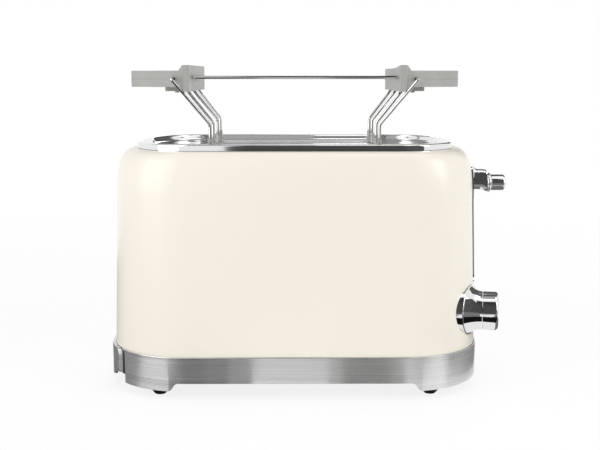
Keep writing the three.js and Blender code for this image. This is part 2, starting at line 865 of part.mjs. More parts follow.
function cordGland() {
  const outerFace = bodyHalfDepth - glandRecess;
  const wallInner = bodyHalfDepth - shellInset - panWall - seatGap;
  const flangeInner = wallInner - glandFlange;
  const body = join([
    rod("y", glandRadius, glandAcross, glandHeight, flangeInner, outerFace, roundSides),
    rod("y", glandFlangeRadius, glandAcross, glandHeight, flangeInner, wallInner, roundSides),
  ]);
  const bore = rod(
    "y",
    glandBoreRadius,
    glandAcross,
    glandHeight,
    flangeInner - overrun,
    outerFace + overrun,
    roundSides,
  );
  return piece("cord_gland", body.subtract(bore), blackPlastic);
}

// The tall slot in a chassis plate that a bread lifter's blade runs in.
function liftSlot(side) {
  const across = (side * slotSpacing) / 2;
  const halfWidth = liftBlade / 2 + runningGap;
  const low = liftTop - liftBladeHeight - liftTravel - runningGap;
  return block(
    [-chassisOuter - overrun, chassisOuter + overrun],
    [across - halfWidth, across + halfWidth],
    [low, liftTop + runningGap],
  );
}

function chassisLeft() {
  const halfDepth = chassisDepth / 2;
  const plate = block([-chassisOuter, -chassisInner], [-halfDepth, halfDepth], [panFloorSeat, chassisTop]);
  const halfNotch = panWindow / 2;
  const notch = block(
    [-chassisOuter - overrun, -chassisInner + overrun],
    [-halfNotch, halfNotch],
    [panTop - overrun, panTop + trayNotchHeight],
  );
  return piece("chassis_left", cut(plate, [notch, liftSlot(-1), liftSlot(1)]), sheetSteel);
}

function chassisRight() {
  const halfDepth = chassisDepth / 2;
  const plate = block([chassisInner, chassisOuter], [-halfDepth, halfDepth], [panFloorSeat, chassisTop]);
  const tabEnd = springOffset + springEarWidth;
  const tab = block(
    [chassisInner, chassisInner + tabReach],
    [-sliderEarWidth / 2, tabEnd],
    [tabHeight, tabHeight + chassisSheet],
  );
  const rodHole = rod(
    "z",
    guideRodRadius + seatGap,
    rodPlace,
    0,
    tabHeight - overrun,
    tabHeight + overrun,
  );
  const solid = cut(join([plate, tab]), [liftSlot(-1), liftSlot(1), rodHole]);
  return piece("chassis_right", solid, sheetSteel);
}

function breadGuard(name, across) {
  const guardTop = shellTop - guardDrop;
  const rail = (height) =>
    rod("x", guardWireRadius, across, height, -chamberHalfLength, chamberHalfLength, thinWireSides);
  const wires = Array.from({ length: guardWireCount }, (_, n) => {
    const x = (n - (guardWireCount - 1) / 2) * guardWirePitch;
    return rod("z", guardWireRadius, x, across, guardBottom, guardTop, thinWireSides);
  });
  const rails = [rail(guardBottom + guardWireRadius), rail(guardTop - guardWireRadius)];
  return piece(name, join([...rails, ...wires]), sheetSteel);
}

// A mica board whose ends are notched for the ribbon that is wound round it.
function heatingElement(name, across) {
  const elementTop = shellTop - elementDrop;
  const half = elementThickness / 2;
  const board = block(
    [-chamberHalfLength, chamberHalfLength],
    [across - half, across + half],
    [elementBottom, elementTop],
  );
  const pitch = (elementTop - elementBottom) / (ribbonCount + 1);
  const ribbonHalf = half + ribbonRise;
  const ribbons = [];
  const notches = [];
  for (let n = 1; n <= ribbonCount; n += 1) {
    const height = elementBottom + n * pitch;
    const span = [height - ribbonWidth / 2, height + ribbonWidth / 2];
    const reach = chamberHalfLength - notchDepth;
    ribbons.push(block([-reach, reach], [across - ribbonHalf, across + ribbonHalf], span));
    for (const end of [-1, 1]) {
      const notch = [end * reach, end * (chamberHalfLength + overrun)].sort((a, b) => a - b);
      notches.push(block(notch, [across - ribbonWidth, across + ribbonWidth], span));
    }
  }
  return piece(name, join([cut(board, notches), ...ribbons]), mica);
}

function heatShield(name, side) {
  const across = (side * shieldSpacing) / 2;
  const inward = across - side * shieldFold;
  const outward = across + side * shieldSheet;
  const order = (a, b) => [Math.min(a, b), Math.max(a, b)];
  const span = [-chamberHalfLength, chamberHalfLength];
  const wall = block(span, order(across, outward), [shieldBottom, shellTop - shieldDrop]);
  const fold = block(span, order(inward, outward), [shieldBottom, shieldBottom + shieldSheet]);
  return piece(name, join([wall, fold]), sheetSteel);
}

// The wire guards, boards and shields round the two slices.
function toastingChamber() {
  const nodes = [];
  for (const side of [-1, 1]) {
    const slice = side < 0 ? "front" : "rear";
    const middle = (side * slotSpacing) / 2;
    const outer = middle + (side * elementSpacing) / 2;
    const inner = middle - (side * elementSpacing) / 2;
    nodes.push(heatingElement(`element_${slice}_outer`, outer));
    nodes.push(heatingElement(`element_${slice}_inner`, inner));
    nodes.push(breadGuard(`guard_${slice}_outer`, middle + (side * guardSpacing) / 2));
    nodes.push(breadGuard(`guard_${slice}_inner`, middle - (side * guardSpacing) / 2));
    nodes.push(heatShield(`heat_shield_${slice}`, side));
  }
  return nodes;
}

function breadLifter(name, across) {
  const half = liftBlade / 2;
  const blade = block(
    [-chassisOuter - runningGap * 2, sliderInner - seatGap],
    [across - half, across + half],
    [liftTop - liftBladeHeight, liftTop],
  );
  const pitch = (liftShelfLength - liftTabLength) / (liftTabCount - 1);
  const tabs = Array.from({ length: liftTabCount }, (_, n) => {
    const start = -liftShelfLength / 2 + n * pitch;
    return block(
      [start, start + liftTabLength],
      [across - liftShelfWidth / 2, across + liftShelfWidth / 2],
      [liftTop - liftBlade, liftTop],
    );
  });
  return piece(name, join([blade, ...tabs]), sheetSteel);
}

// The slider runs on the guide rod and joins both lifters to the lever's arm.
function slider() {
  const halfEar = sliderEarWidth / 2;
  const bridgeTop = sliderBottom + sliderBridgeHeight;
  const bridge = block(
    [sliderInner, sliderOuter],
    [-sliderWidth / 2, sliderWidth / 2],
    [sliderBottom, bridgeTop],
  );
  const back = block([sliderInner, sliderOuter], [-halfEar, halfEar], [sliderBottom, sliderTop]);
  const ears = [
    [sliderBottom, sliderBottom + sliderEarHeight],
    [sliderTop - sliderEarHeight, sliderTop],
  ].map((span) => block([sliderInner, earOuter], [-halfEar, halfEar], span));
  const springEar = block(
    [sliderInner, rodPlace + springRadius],
    [springOffset - springEarWidth / 2, springOffset + springEarWidth / 2],
    [bridgeTop - springEarHeight, bridgeTop],
  );
  const shelf = block(
    [sliderInner, earOuter],
    [-magnetOffset - armatureSize / 2, 0],
    [sliderBottom + armatureThickness + seatGap, sliderBottom + sliderEarHeight / 2],
  );
  const bore = rod(
    "z",
    guideRodRadius + seatGap,
    rodPlace,
    0,
    sliderBottom - overrun,
    sliderTop + overrun,
  );
  const solid = join([bridge, back, ...ears, springEar, shelf]).subtract(bore);
  return piece("carriage_slider", solid, blackPlastic);
}

function leverArm() {
  const half = leverArmThickness / 2;
  const neckStart = neckFace() + leverSocketDepth - seatGap;
  const arm = block(
    [earOuter + seatGap, neckStart],
    [-half, half],
    [leverHeight - leverArmHeight / 2, leverHeight + leverArmHeight / 2],
  );
  return piece("lever_arm", arm, sheetSteel);
}

// Where the lever's neck starts, clear of the trim plate.
function neckFace() {
  return bodyHalfLength - shellInset + seatGap + leverPlateSheet + seatGap;
}

// The neck's outline seen from the front. It flares down to the collar.
function neckOutline() {
  const [low, high] = [leverHeight - leverNeckBelow, leverHeight + leverNeckAbove];
  const start = neckFace();
  return new THREE.Shape()
    .moveTo(start, low)
    .lineTo(leverNeckEnd - leverNeckFlareRun, low)
    .quadraticCurveTo(leverNeckEnd - leverNeckFlareRun / 4, low, leverNeckEnd, low - leverNeckFlare)
    .lineTo(leverNeckEnd, high - leverNeckBevel)
    .lineTo(leverNeckEnd - leverNeckBevel, high)
    .lineTo(start + leverNeckBevel, high)
    .lineTo(start, high + leverNeckBevel / 2);
}

function leverNeck() {
  const low = leverHeight - leverNeckBelow - leverNeckFlare;
  const high = leverHeight + leverNeckAbove + leverNeckBevel / 2;
  const section = roundedRectangle(leverNeckWidth, high - low, leverNeckEdge, 0, (low + high) / 2);
  const profile = prism(neckOutline(), "y", -leverNeckWidth, leverNeckWidth);
  const neck = prism(section, "x", neckFace(), leverNeckEnd, filletSteps).intersect(profile);
  const halfArm = leverArmThickness / 2 + seatGap;
  const halfHeight = leverArmHeight / 2 + seatGap;
  const socket = block(
    [neckFace() - overrun, neckFace() + leverSocketDepth],
    [-halfArm, halfArm],
    [leverHeight - halfHeight, leverHeight + halfHeight],
  );
  return piece("lever_neck", neck.subtract(socket), chrome);
}

function leverCollar() {
  const start = leverNeckEnd + seatGap;
  const end = start + leverCollarLength;
  const edge = leverCollarLength / 3;
  const profile = [
    [0, start],
    [leverCollarRadius - edge, start],
    [leverCollarRadius, start + edge],
    [leverCollarRadius, end - edge],
    [leverCollarRadius - edge, end],
    [0, end],
  ];
  return piece("lever_collar", turned(profile, "x", 0, leverHeight), chrome);
}

function leverCap() {
  const start = leverNeckEnd + leverCollarLength + seatGap * 2;
  const profile = [[0, start], [leverCapRadius, start]];
  for (let step = 0; step <= edgeSteps; step += 1) {
    const angle = ((step / edgeSteps) * Math.PI) / 2;
    profile.push([
      leverCapRadius - leverCapEdge * (1 - Math.cos(angle)),
      leverTip - leverCapEdge * (1 - Math.sin(angle)),
    ]);
  }
  profile.push([0, leverTip]);
  return piece("lever_cap", turned(profile, "x", 0, leverHeight), chrome);
}

function armature() {
  const half = armatureSize / 2;
  const plate = block(
    [rodPlace - half, rodPlace + half],
    [-magnetOffset - half, -magnetOffset + half],
    [sliderBottom, sliderBottom + armatureThickness],
  );
  return piece("armature", plate, sheetSteel);
}

function holdMagnet() {
  const half = magnetBaseSize / 2;
  const baseTop = panFloorSeat + magnetBaseHeight;
  const coreTop = sliderBottom - liftTravel - seatGap;
  const coilTop = baseTop + magnetCoilHeight;
  const base = block(
    [rodPlace - half, rodPlace + half],
    [-magnetOffset - half, -magnetOffset + half],
    [panFloorSeat, baseTop],
  );
  const coil = rod("z", magnetCoilRadius, rodPlace, -magnetOffset, baseTop, coilTop, roundSides);
  const core = rod("z", magnetCoreRadius, rodPlace, -magnetOffset, baseTop, coreTop);
  return piece("hold_magnet", join([base, coil, core]), copper);
}

function guideRod() {
  const top = tabHeight + chassisSheet + guideRodEnd;
  const solid = rod("z", guideRodRadius, rodPlace, 0, panTop + seatGap, top);
  return piece("guide_rod", solid, sheetSteel);
}

// A pull spring from the chassis tab down to the slider's ear.
function returnSpring() {
  const low = sliderBottom + sliderBridgeHeight + seatGap + springWireRadius;
  const high = tabHeight - seatGap - springWireRadius;
  const steps = springTurns * coilSteps;
  const knots = Array.from({ length: steps + 1 }, (_, n) => {
    const angle = (n / coilSteps) * Math.PI * 2;
    const x = rodPlace + springRadius * Math.cos(angle);
    const y = springOffset + springRadius * Math.sin(angle);
    return new THREE.Vector3(x, y, low + ((high - low) * n) / steps);
  });
  return piece("return_spring", tube(knots, springWireRadius, coilSides), sheetSteel);
}

function controlBoard() {
  const back = boardReach.back;
  const board = block(
    [boardPlace, boardOuter],
    [boardReach.front - boardPostWidth / 2, back + boardPostWidth / 2],
    [boardBottom, boardTop],
  );
  const half = switchSize / 2;
  const switches = buttonPlaces().map((place) =>
    block(
      [boardPlace, boardOuter + switchDepth],
      [place - half, place + half],
      [buttonHeight - half, buttonHeight + half],
    ),
  );
  return piece("control_board", join([board, ...switches]), boardGreen);
}

// The middle of the shell's round corner in plan, on the knob's side.
function cornerMiddle() {
  return new THREE.Vector2(bodyHalfLength - bodyCornerRadius, bodyCornerRadius - bodyHalfDepth);
}

// The radius of the shell's round corner at a height.
function cornerRadiusAt(height) {
  const leanShare = (height - shellBottom) / (shoulderStart - shellBottom);
  return bodyCornerRadius - shellInset - shellDraft * leanShare;
}

// Where the knob's axis meets the shell.
function knobOrigin() {
  const middle = cornerMiddle();
  const across = -knobAcross - middle.y;
  const radius = cornerRadiusAt(knobHeight);
  const along = Math.sqrt(radius * radius - across * across);
  return new THREE.Vector3(middle.x + along, -knobAcross, knobHeight);
}

// The knob's own frame: its axis is X and its origin is where that axis meets the shell.
function knobFrame() {
  return new THREE.Matrix4().makeRotationZ(-knobTurn).setPosition(knobOrigin());
}

function placeAtKnob(mesh) {
  mesh.position.copy(knobOrigin());
  mesh.rotation.z = -knobTurn;
  return mesh;
}

// A ring round the knob's axis. Its points lie at one place, or on a leaning face.
function knobRing(radius, placeAt) {
  return Array.from({ length: knobSides }, (_, n) => {
    const angle = (n / knobSides) * Math.PI * 2;
    const [across, up] = [radius * Math.cos(angle), radius * Math.sin(angle)];
    return new THREE.Vector3(placeAt(across), across, up);
  });
}

// The fixed hollow-sided cone behind the knob. Its flange leans with the shell's round corner.
function knobEscutcheon() {
  const face = (across) => knobFlangeRise + across * Math.tan(knobFlangeLean);
  const edge = (across) => face(across) - knobFlangeEdge;
  const rings = [
    knobRing(knobFlangeRadius, () => -bodyCornerRadius / 2),
    knobRing(knobFlangeRadius, edge),
    knobRing(knobFlangeRadius - knobFlangeEdge, face),
  ];
  for (let step = 0; step <= coneSteps; step += 1) {
    const share = step / coneSteps;
    const radius = knobRadius + (knobConeRadius - knobRadius) * (1 - share) ** 2;
    const place = (across) => THREE.MathUtils.lerp(face(across), knobSeam, share);
    rings.push(knobRing(radius, place));
  }
  const cone = skin(rings);
  const toKnob = knobFrame().invert();
  const shell = shellForm(seatGap, shellBottom - overrun, shellTop, shoulderSteps, toKnob);
  const bore = rod("x", knobShaftRadius + seatGap, 0, 0, -overrun, knobEnd);
  return placeAtKnob(piece("knob_escutcheon", cut(cone, [shell, bore]), chrome));
}

// The timer's housing is shaped to the inside of the shell's wall, where it is fixed.
function browningTimer() {
  const body = rod("x", timerRadius, 0, 0, -timerLength, knobSeam, roundSides);
  const bore = rod("x", knobShaftRadius + seatGap, 0, 0, -knobShaftTail - seatGap, knobEnd);
  const inside = shellForm(
    -shellWall - seatGap,
    shellBottom - overrun,
    shellTop,
    shoulderSteps,
    knobFrame().invert(),
  );
  return placeAtKnob(piece("browning_timer", body.intersect(inside).subtract(bore), blackPlastic));
}

function knob() {
  const start = knobSeam + seatGap;
  const profile = [[0, start], [knobRadius, start]];
  for (let step = 0; step <= edgeSteps; step += 1) {
    const angle = ((step / edgeSteps) * Math.PI) / 2;
    profile.push([
      knobRadius - knobEdge * (1 - Math.cos(angle)),
      knobEnd - knobEdge * (1 - Math.sin(angle)),
    ]);
  }
  profile.push([0, knobEnd]);
  const body = turned(profile, "x", 0, 0, knobSides);
  const bore = rod("x", knobShaftRadius + seatGap, 0, 0, start - overrun, start + knobShaftGrip);
  const pointer = block(
    [knobEnd - pointerDepth, knobEnd + overrun],
    [-pointerWidth / 2, pointerWidth / 2],
    [knobRadius / 4, knobRadius - knobEdge],
  );
  return placeAtKnob(piece("knob", cut(body, [bore, pointer]), chrome));
}

function knobShaft() {
  const solid = rod("x", knobShaftRadius, 0, 0, -knobShaftTail, knobSeam + knobShaftGrip);
  return placeAtKnob(piece("knob_shaft", solid, sheetSteel));
}

function button(name, across) {
  const face = bodyHalfLength + buttonReach;
  const headStart = face - buttonHead;
  const stemStart = boardOuter + switchDepth + buttonTravel + seatGap;
  const profile = [
    [0, stemStart],
    [buttonStemRadius, stemStart],
    [buttonStemRadius, headStart],
    [buttonRadius, headStart],
    [buttonRadius, face - buttonEdge],
    [buttonRadius - buttonEdge, face],
    [0, face],
  ];
  const mesh = piece(name, turned(profile, "x", 0, 0, buttonSides), chrome);
  mesh.position.set(0, across, buttonHeight);
  return mesh;
}

function buttons() {
  const names = ["cancel_button", "reheat_button", "defrost_button"];
  return buttonPlaces().map((place, n) => button(names[n], place));
}

// The corners of one leg wire, for the end and the slot on the positive sides.
function legCorners() {
  const slot = slotSpacing / 2;
  const topReach = towerInner + legTopInset;
  const top = towerTop - legTopDrop;
  const innerTop = towerTop - legInnerTopDrop;
  const bend = topPlateTop + legBendRise;
  const foot = topPlateTop - legFootDrop;
  const innerReach = legFoot + ((topReach - legFoot) * (innerTop - bend)) / (top - bend);
  return [
    [topReach, legTopIn, top],
    [topReach, legTopOut, top],
    [legFoot, slot + legAcross, bend],
    [legFoot, slot + legAcross, foot],
    [legFoot, slot - legAcross, foot],
    [legFoot, slot - legAcross, bend],
    [innerReach, slot - legAcross, innerTop],
  ];
}

function legWire(end, side, radius) {
  const corners = legCorners().map(([x, y, z]) => new THREE.Vector3(x * end, y * side, z));
  const small = wireRadius * 2;
  const bends = [small, legBendRadius, legBendRadius, legBendRadius, legBendRadius];
  return bentWire(corners, bends, radius, wireSides);
}

// One leg wire stands in the end of a slot. Its collars rest on the slot's edges.
function rackLeg(name, end, side) {
  const slot = (side * slotSpacing) / 2;
  const seat = topPlateFloor + seatGap;
  const collars = [-1, 1].map((way) =>
    rod(
      "z",
      collarRadius,
      end * legFoot,
      slot + way * legAcross,
      seat,
      seat + collarHeight,
    ),
  );
  return piece(name, join([legWire(end, side, wireRadius), ...collars]), chrome);
}

// The handle's plan: a bow that sweeps in from the tower and narrows to the outer end.
function handlePlan() {
  const face = towerInner + towerFaceWidth;
  const root = new THREE.Vector2(towerInner + armRootReach, armRootHalfDepth);
  const outer = new THREE.Vector2(armOuter - armCornerRadius, armOuterHalfDepth);
  const sweep = root.clone().lerp(outer, armSweepShare);
  return new THREE.Shape()
    .moveTo(towerInner, -towerHalfDepth)
    .lineTo(face, -towerHalfDepth)
    .quadraticCurveTo(root.x, -root.y, sweep.x, -sweep.y)
    .lineTo(outer.x, -outer.y)
    .quadraticCurveTo(armOuter, -armOuterHalfDepth + armCornerRadius / 2, armOuter, 0)
    .quadraticCurveTo(
      armOuter,
      armOuterHalfDepth - armCornerRadius / 2,
      outer.x,
      outer.y,
    )
    .lineTo(sweep.x, sweep.y)
    .quadraticCurveTo(root.x, root.y, face, towerHalfDepth)
    .lineTo(towerInner, towerHalfDepth);
}

// The tower at the handle's inner end, seen from the front, with its outer edge chamfered.
function towerProfile() {
  return new THREE.Shape()
    .moveTo(towerInner, towerBottom)
    .lineTo(towerOuter, towerBottom)
    .lineTo(towerOuter, armTop)
    .lineTo(towerInner + towerTopWidth, towerTop)
    .lineTo(towerInner, towerTop);
}

// What is cut from the right tower's top, seen from the end: it falls from the front face to
// the middle and stays low to the rear.
function towerDipOutline() {
  const [front, rear] = [towerDipInset - towerHalfDepth, towerHalfDepth + overrun];
  const low = towerTop - towerDip;
  return new THREE.Shape()
    .moveTo(front, towerTop)
    .quadraticCurveTo(front / 2, low, 0, low)
    .lineTo(rear, low)
    .lineTo(rear, towerTop + overrun)
    .lineTo(front, towerTop + overrun);
}

function barPlaces() {
  return [-barOuterAcross, -barInnerAcross, barInnerAcross, barOuterAcross];
}

// One handle in the place of the right one, and what is cut out of its tower's top.
function handleSolid(dips) {
  const arm = prism(handlePlan(), "z", armBottom, armTop);
  const column = prism(handlePlan(), "z", towerBottom, towerTop);
  const profile = prism(towerProfile(), "y", -towerHalfDepth, towerHalfDepth);
  const tower = column.intersect(profile);
  const ledgePlan = roundedRectangle(
    ledgeReach,
    ledgeHalfDepth * 2,
    armCornerRadius / 2,
    towerInner + ledgeReach / 2,
    0,
  );
  const ledge = prism(ledgePlan, "z", towerBottom, (armTop + armBottom) / 2, filletSteps);
  const gripPlan = roundedRectangle(
    gripWidth,
    gripHalfDepth * 2,
    gripCornerRadius,
    towerInner + gripReach + gripWidth / 2,
    0,
  );
  const grip = prism(gripPlan, "z", towerBottom - overrun, armTop + overrun, filletSteps);
  const seatEnd = towerInner + barSeatDepth + seatGap;
  const seats = barPlaces().map((across) =>
    rod(
      "x",
      wireRadius + seatGap,
      across,
      towerTop - barDrop,
      towerInner - overrun,
      seatEnd,
      wireSides,
    ),
  );
  const sockets = [-1, 1].map((side) => legWire(1, side, wireRadius + seatGap));
  return cut(join([arm, tower, ledge]), [grip, ...dips, ...seats, ...sockets]);
}

function rightHandle() {
  const dip = prism(towerDipOutline(), "x", towerInner - overrun, towerOuter + overrun);
  return piece("rack_handle_right", handleSolid([dip]), greyPlastic);
}

// The left handle is the right one turned half round, with the top of its tower level.
function leftHandle() {
  const mesh = piece("rack_handle_left", handleSolid([]), greyPlastic);
  mesh.rotation.z = Math.PI;
  return mesh;
}

function rackBar(name, across) {
  const [reach, height] = [towerInner + barSeatDepth, towerTop - barDrop];
  return piece(name, rod("x", wireRadius, across, height, -reach, reach, wireSides), chrome);
}

function bunRack() {
  const nodes = [rightHandle(), leftHandle()];
  const barNames = ["front_outer", "front_inner", "rear_inner", "rear_outer"];
  barPlaces().forEach((across, n) => nodes.push(rackBar(`rack_bar_${barNames[n]}`, across)));
  for (const end of [-1, 1]) {
    for (const side of [-1, 1]) {
      const name = `rack_leg_${side < 0 ? "front" : "rear"}_${end < 0 ? "left" : "right"}`;
      nodes.push(rackLeg(name, end, side));
    }
  }
  return nodes;
}

const toaster = new THREE.Group();
toaster.add(
  baseBand(),
  basePan(),
  ...feet(),
  outerShell(),
  topPlate(),
  leverPlate(),
  knobEscutcheon(),
  cordGland(),
  chassisLeft(),
  chassisRight(),
  ...toastingChamber(),
  guideRod(),
  returnSpring(),
  holdMagnet(),
  controlBoard(),
  browningTimer(),
  slider(),
  breadLifter("bread_lifter_front", -slotSpacing / 2),
  breadLifter("bread_lifter_rear", slotSpacing / 2),
  leverArm(),
  leverNeck(),
  leverCollar(),
  leverCap(),
  armature(),
  knob(),
  knobShaft(),
  ...buttons(),
  crumbTray(),
  trayPanel(),
  ...bunRack(),
);

// The origin is on the ground, under the middle of everything from end to end.
toaster.position.x = (trayPanelProud - leverReach) / 2;

export default toaster;
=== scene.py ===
"""Picture of a retro bread toaster with a lift-off bun rack, built round its CAD part.

All sizes are metres. Places are given from the middle of the toaster's body, and the
builder moves them to the part's own origin.
"""

import json
import logging
import math
from dataclasses import dataclass
from enum import Enum
from typing import Callable, Sequence

import bmesh
import bpy
from mathutils import Matrix, Vector


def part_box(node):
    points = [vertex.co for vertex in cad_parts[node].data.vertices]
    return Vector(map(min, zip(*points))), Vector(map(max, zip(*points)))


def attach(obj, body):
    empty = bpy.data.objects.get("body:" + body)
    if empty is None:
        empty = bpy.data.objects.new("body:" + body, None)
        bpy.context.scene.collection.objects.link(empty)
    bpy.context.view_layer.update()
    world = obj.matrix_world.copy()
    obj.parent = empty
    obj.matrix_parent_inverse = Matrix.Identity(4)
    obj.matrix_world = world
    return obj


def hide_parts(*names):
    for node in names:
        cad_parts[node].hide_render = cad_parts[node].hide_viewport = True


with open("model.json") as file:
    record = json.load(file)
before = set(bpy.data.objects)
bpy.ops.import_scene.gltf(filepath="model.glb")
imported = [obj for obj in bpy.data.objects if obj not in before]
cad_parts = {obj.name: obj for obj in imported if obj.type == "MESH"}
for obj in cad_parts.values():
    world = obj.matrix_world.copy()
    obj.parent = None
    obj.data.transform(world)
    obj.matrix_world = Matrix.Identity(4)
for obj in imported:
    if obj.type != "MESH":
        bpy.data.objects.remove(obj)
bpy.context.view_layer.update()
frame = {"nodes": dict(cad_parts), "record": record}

MM = 0.001
SAME_POINT = 0.001 * MM
EASE = 0.06
CREASE = 35.0
SOFT_CREASE = 50.0
WHITE = (1.0, 1.0, 1.0, 1.0)
LOG = logging.getLogger("toaster")

Colour = tuple[float, float, float]
Place = tuple[float, float, float]
Plan = tuple[tuple[float, float], ...]
Item = bpy.types.Object
Socket = bpy.types.NodeSocket


class Body(Enum):
    """The CAD bodies that pieces ride on."""

    HOUSING = "housing"
    CARRIAGE = "carriage"
    KNOB = "browning_knob"
    CANCEL = "cancel_key"
    REHEAT = "reheat_key"
    DEFROST = "defrost_key"
    RACK = "bun_rack"


class Axis(Enum):
    """The way that a turned piece points."""

    X = (1.0, 0.0, 0.0)
    Z = (0.0, 0.0, 1.0)


class Cut(Enum):
    """What a tool does to a piece."""

    TAKE_OUT = "DIFFERENCE"
    KEEP_WITHIN = "INTERSECT"


class Kind(Enum):
    """The kinds of pattern in a finish."""

    NOISE = "noise"
    CELLS = "cells"
    TURNS = "turns"


def body_middle() -> Vector:
    """Finds the middle of the toaster's body on the ground.

    Returns:
        The place in the part's own frame.
    """
    low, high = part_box("outer_shell")
    return Vector(((low.x + high.x) / 2, 0.0, 0.0))


MIDDLE = body_middle()


def add_node(
    tree: bpy.types.NodeTree,
    kind: str,
    values: dict[str | int, object] | None = None,
    joins: dict[str | int, Socket] | None = None,
    **settings: str,
) -> bpy.types.Node:
    """Adds a node to a tree.

    Args:
        tree: The tree.
        kind: The kind of node.
        values: What its inputs are set to.
        joins: What its inputs are joined to.
        settings: The node's own settings.

    Returns:
        The node.
    """
    node = tree.nodes.new(kind)
    for name, setting in settings.items():
        setattr(node, name, setting)
    for name, value in (values or {}).items():
        node.inputs[name].default_value = value
    for name, socket in (joins or {}).items():
        tree.links.new(socket, node.inputs[name])
    return node


@dataclass(frozen=True)
class Pattern:
    """A pattern in an object's own places.

    Scale is repeats for each metre, detail adds finer layers to noise, and stretch is how
    fast the pattern changes along X, Y and Z.
    """

    kind: Kind
    scale: float
    detail: float = 2.0
    stretch: Place = (1, 1, 1)


@dataclass(frozen=True)
class Span:
    """What a pattern makes of a value, from where it is low to where it is high."""

    pattern: Pattern
    low: float
    high: float


def patches(scale: float, spread: float) -> Span:
    """Gives soft patches in a colour.

    Args:
        scale: Patches for each metre.
        spread: How much lighter and darker they get, as a share.

    Returns:
        The span of shares.
    """
    return Span(Pattern(Kind.NOISE, scale, 3.0), 1 - spread, 1 + spread)


def clouds(scale: float, stray: float) -> Span:
    """Gives soft clouds in a surface's roughness.

    Args:
        scale: Clouds for each metre.
        stray: How far the roughness strays either way.

    Returns:
        The span of what is added.
    """
    return Span(Pattern(Kind.NOISE, scale, 4.0), -stray, stray)


class NodeSheet:
    """A material's nodes, with short ways to add them and to join them."""

    pattern_low = 0.3
    pattern_high = 0.7
    turns_wobble = 0.4

    def __init__(self, name: str) -> None:
        """Starts a material that has one principled surface.

        Args:
            name: The material's name.
        """
        self.material = bpy.data.materials.new(name)
        self.material.use_nodes = True
        self.tree = self.material.node_tree
        self.surface = self.tree.nodes["Principled BSDF"]
        self.place = self.tree.nodes.new("ShaderNodeTexCoord").outputs["Object"]
        self.normal: Socket | None = None

    def set(self, **values: object) -> None:
        """Sets the surface's inputs. An input's name is written with _ for each space."""
        for name, value in values.items():
            self.surface.inputs[name.replace("_", " ")].default_value = value

    def drive(self, name: str, value: Socket) -> None:
        """Joins a value to the surface's input of that name."""
        self.tree.links.new(value, self.surface.inputs[name])

    def draw(self, pattern: Pattern) -> Socket:
        """Adds a pattern.

        Args:
            pattern: The pattern.

        Returns:
            The socket of its value.
        """
        scale = {"Scale": pattern.scale}
        if pattern.kind is Kind.TURNS:
            values = {**scale, "Distortion": self.turns_wobble}
            joins = {"Vector": self.place}
            turns = add_node(self.tree, "ShaderNodeTexWave", values, joins, bands_direction="Z")
            return turns.outputs["Fac"]
        stretched = {"Scale": pattern.stretch}
        mapping = add_node(self.tree, "ShaderNodeMapping", stretched, {"Vector": self.place})
        joins = {"Vector": mapping.outputs["Vector"]}
        if pattern.kind is Kind.CELLS:
            return add_node(self.tree, "ShaderNodeTexVoronoi", scale, joins).outputs["Distance"]
        values = {**scale, "Detail": pattern.detail}
        return add_node(self.tree, "ShaderNodeTexNoise", values, joins).outputs["Fac"]

    def remap(self, span: Span, start: float = 0.0) -> Socket:
        """Turns the middle of a pattern's range into a span.

        Args:
            span: The pattern and its span.
            start: What is added to the span.

        Returns:
            The socket of the result.
        """
        values = {
            "From Min": self.pattern_low,
            "From Max": self.pattern_high,
            "To Min": start + span.low,
            "To Max": start + span.high,
        }
        joins = {"Value": self.draw(span.pattern)}
        return add_node(self.tree, "ShaderNodeMapRange", values, joins).outputs["Result"]

    def tint(self, colour: Colour, span: Span) -> None:
        """Lets a pattern make the surface's colour lighter and darker.

        Args:
            colour: The colour.
            span: The pattern and the shares of the colour.
        """
        values = {
            name: (*(min(channel * share, 1.0) for channel in colour), 1.0)
            for name, share in (("A", span.low), ("B", span.high))
        }
        joins = {"Factor": self.remap(Span(span.pattern, 0.0, 1.0))}
        mix = add_node(self.tree, "ShaderNodeMix", values, joins, data_type="RGBA")
        self.drive("Base Color", mix.outputs["Result"])

    def bump(self, pattern: Pattern, depth: float) -> None:
        """Adds relief to the surface, on top of any relief that it has.

        Args:
            pattern: The pattern of heights.
            depth: Greatest height.
        """
        joins = {"Height": self.draw(pattern)}
        if self.normal is not None:
            joins["Normal"] = self.normal
        self.normal = add_node(self.tree, "ShaderNodeBump", {"Distance": depth}, joins).outputs["Normal"]
        self.drive("Normal", self.normal)


@dataclass(frozen=True)
class Finish:
    """A surface finish.

    Tint holds shares of the colour, which make soft patches unless a kind says otherwise.
    Gloss is what is added to the roughness, reliefs are pairs of a pattern and its depth,
    and sockets are the surface's other inputs.
    """

    name: str
    slot: str | None
    colour: Colour
    roughness: float
    metallic: float = 0.0
    tint: Span = patches(60.0, 0.05)
    gloss: Span | None = None
    reliefs: tuple[tuple[Pattern, float], ...] = ()
    sockets: tuple[tuple[str, float], ...] = ()

    def material(self) -> bpy.types.Material:
        """Gives the finish's material, made on first use.

        Returns:
            The material.
        """
        made = bpy.data.materials.get(f"finish_{self.name}")
        if made is not None:
            return made
        sheet = NodeSheet(f"finish_{self.name}")
        sheet.set(Base_Color=(*self.colour, 1.0), Roughness=self.roughness, Metallic=self.metallic)
        sheet.set(**dict(self.sockets))
        sheet.tint(self.colour, self.tint)
        if self.gloss is not None:
            sheet.drive("Roughness", sheet.remap(self.gloss, self.roughness))
        for pattern, depth in self.reliefs:
            sheet.bump(pattern, depth)
        self.detail(sheet)
        return sheet.material

    def detail(self, sheet: NodeSheet) -> None:
        """Adds what only this kind of finish has, which for most is nothing."""


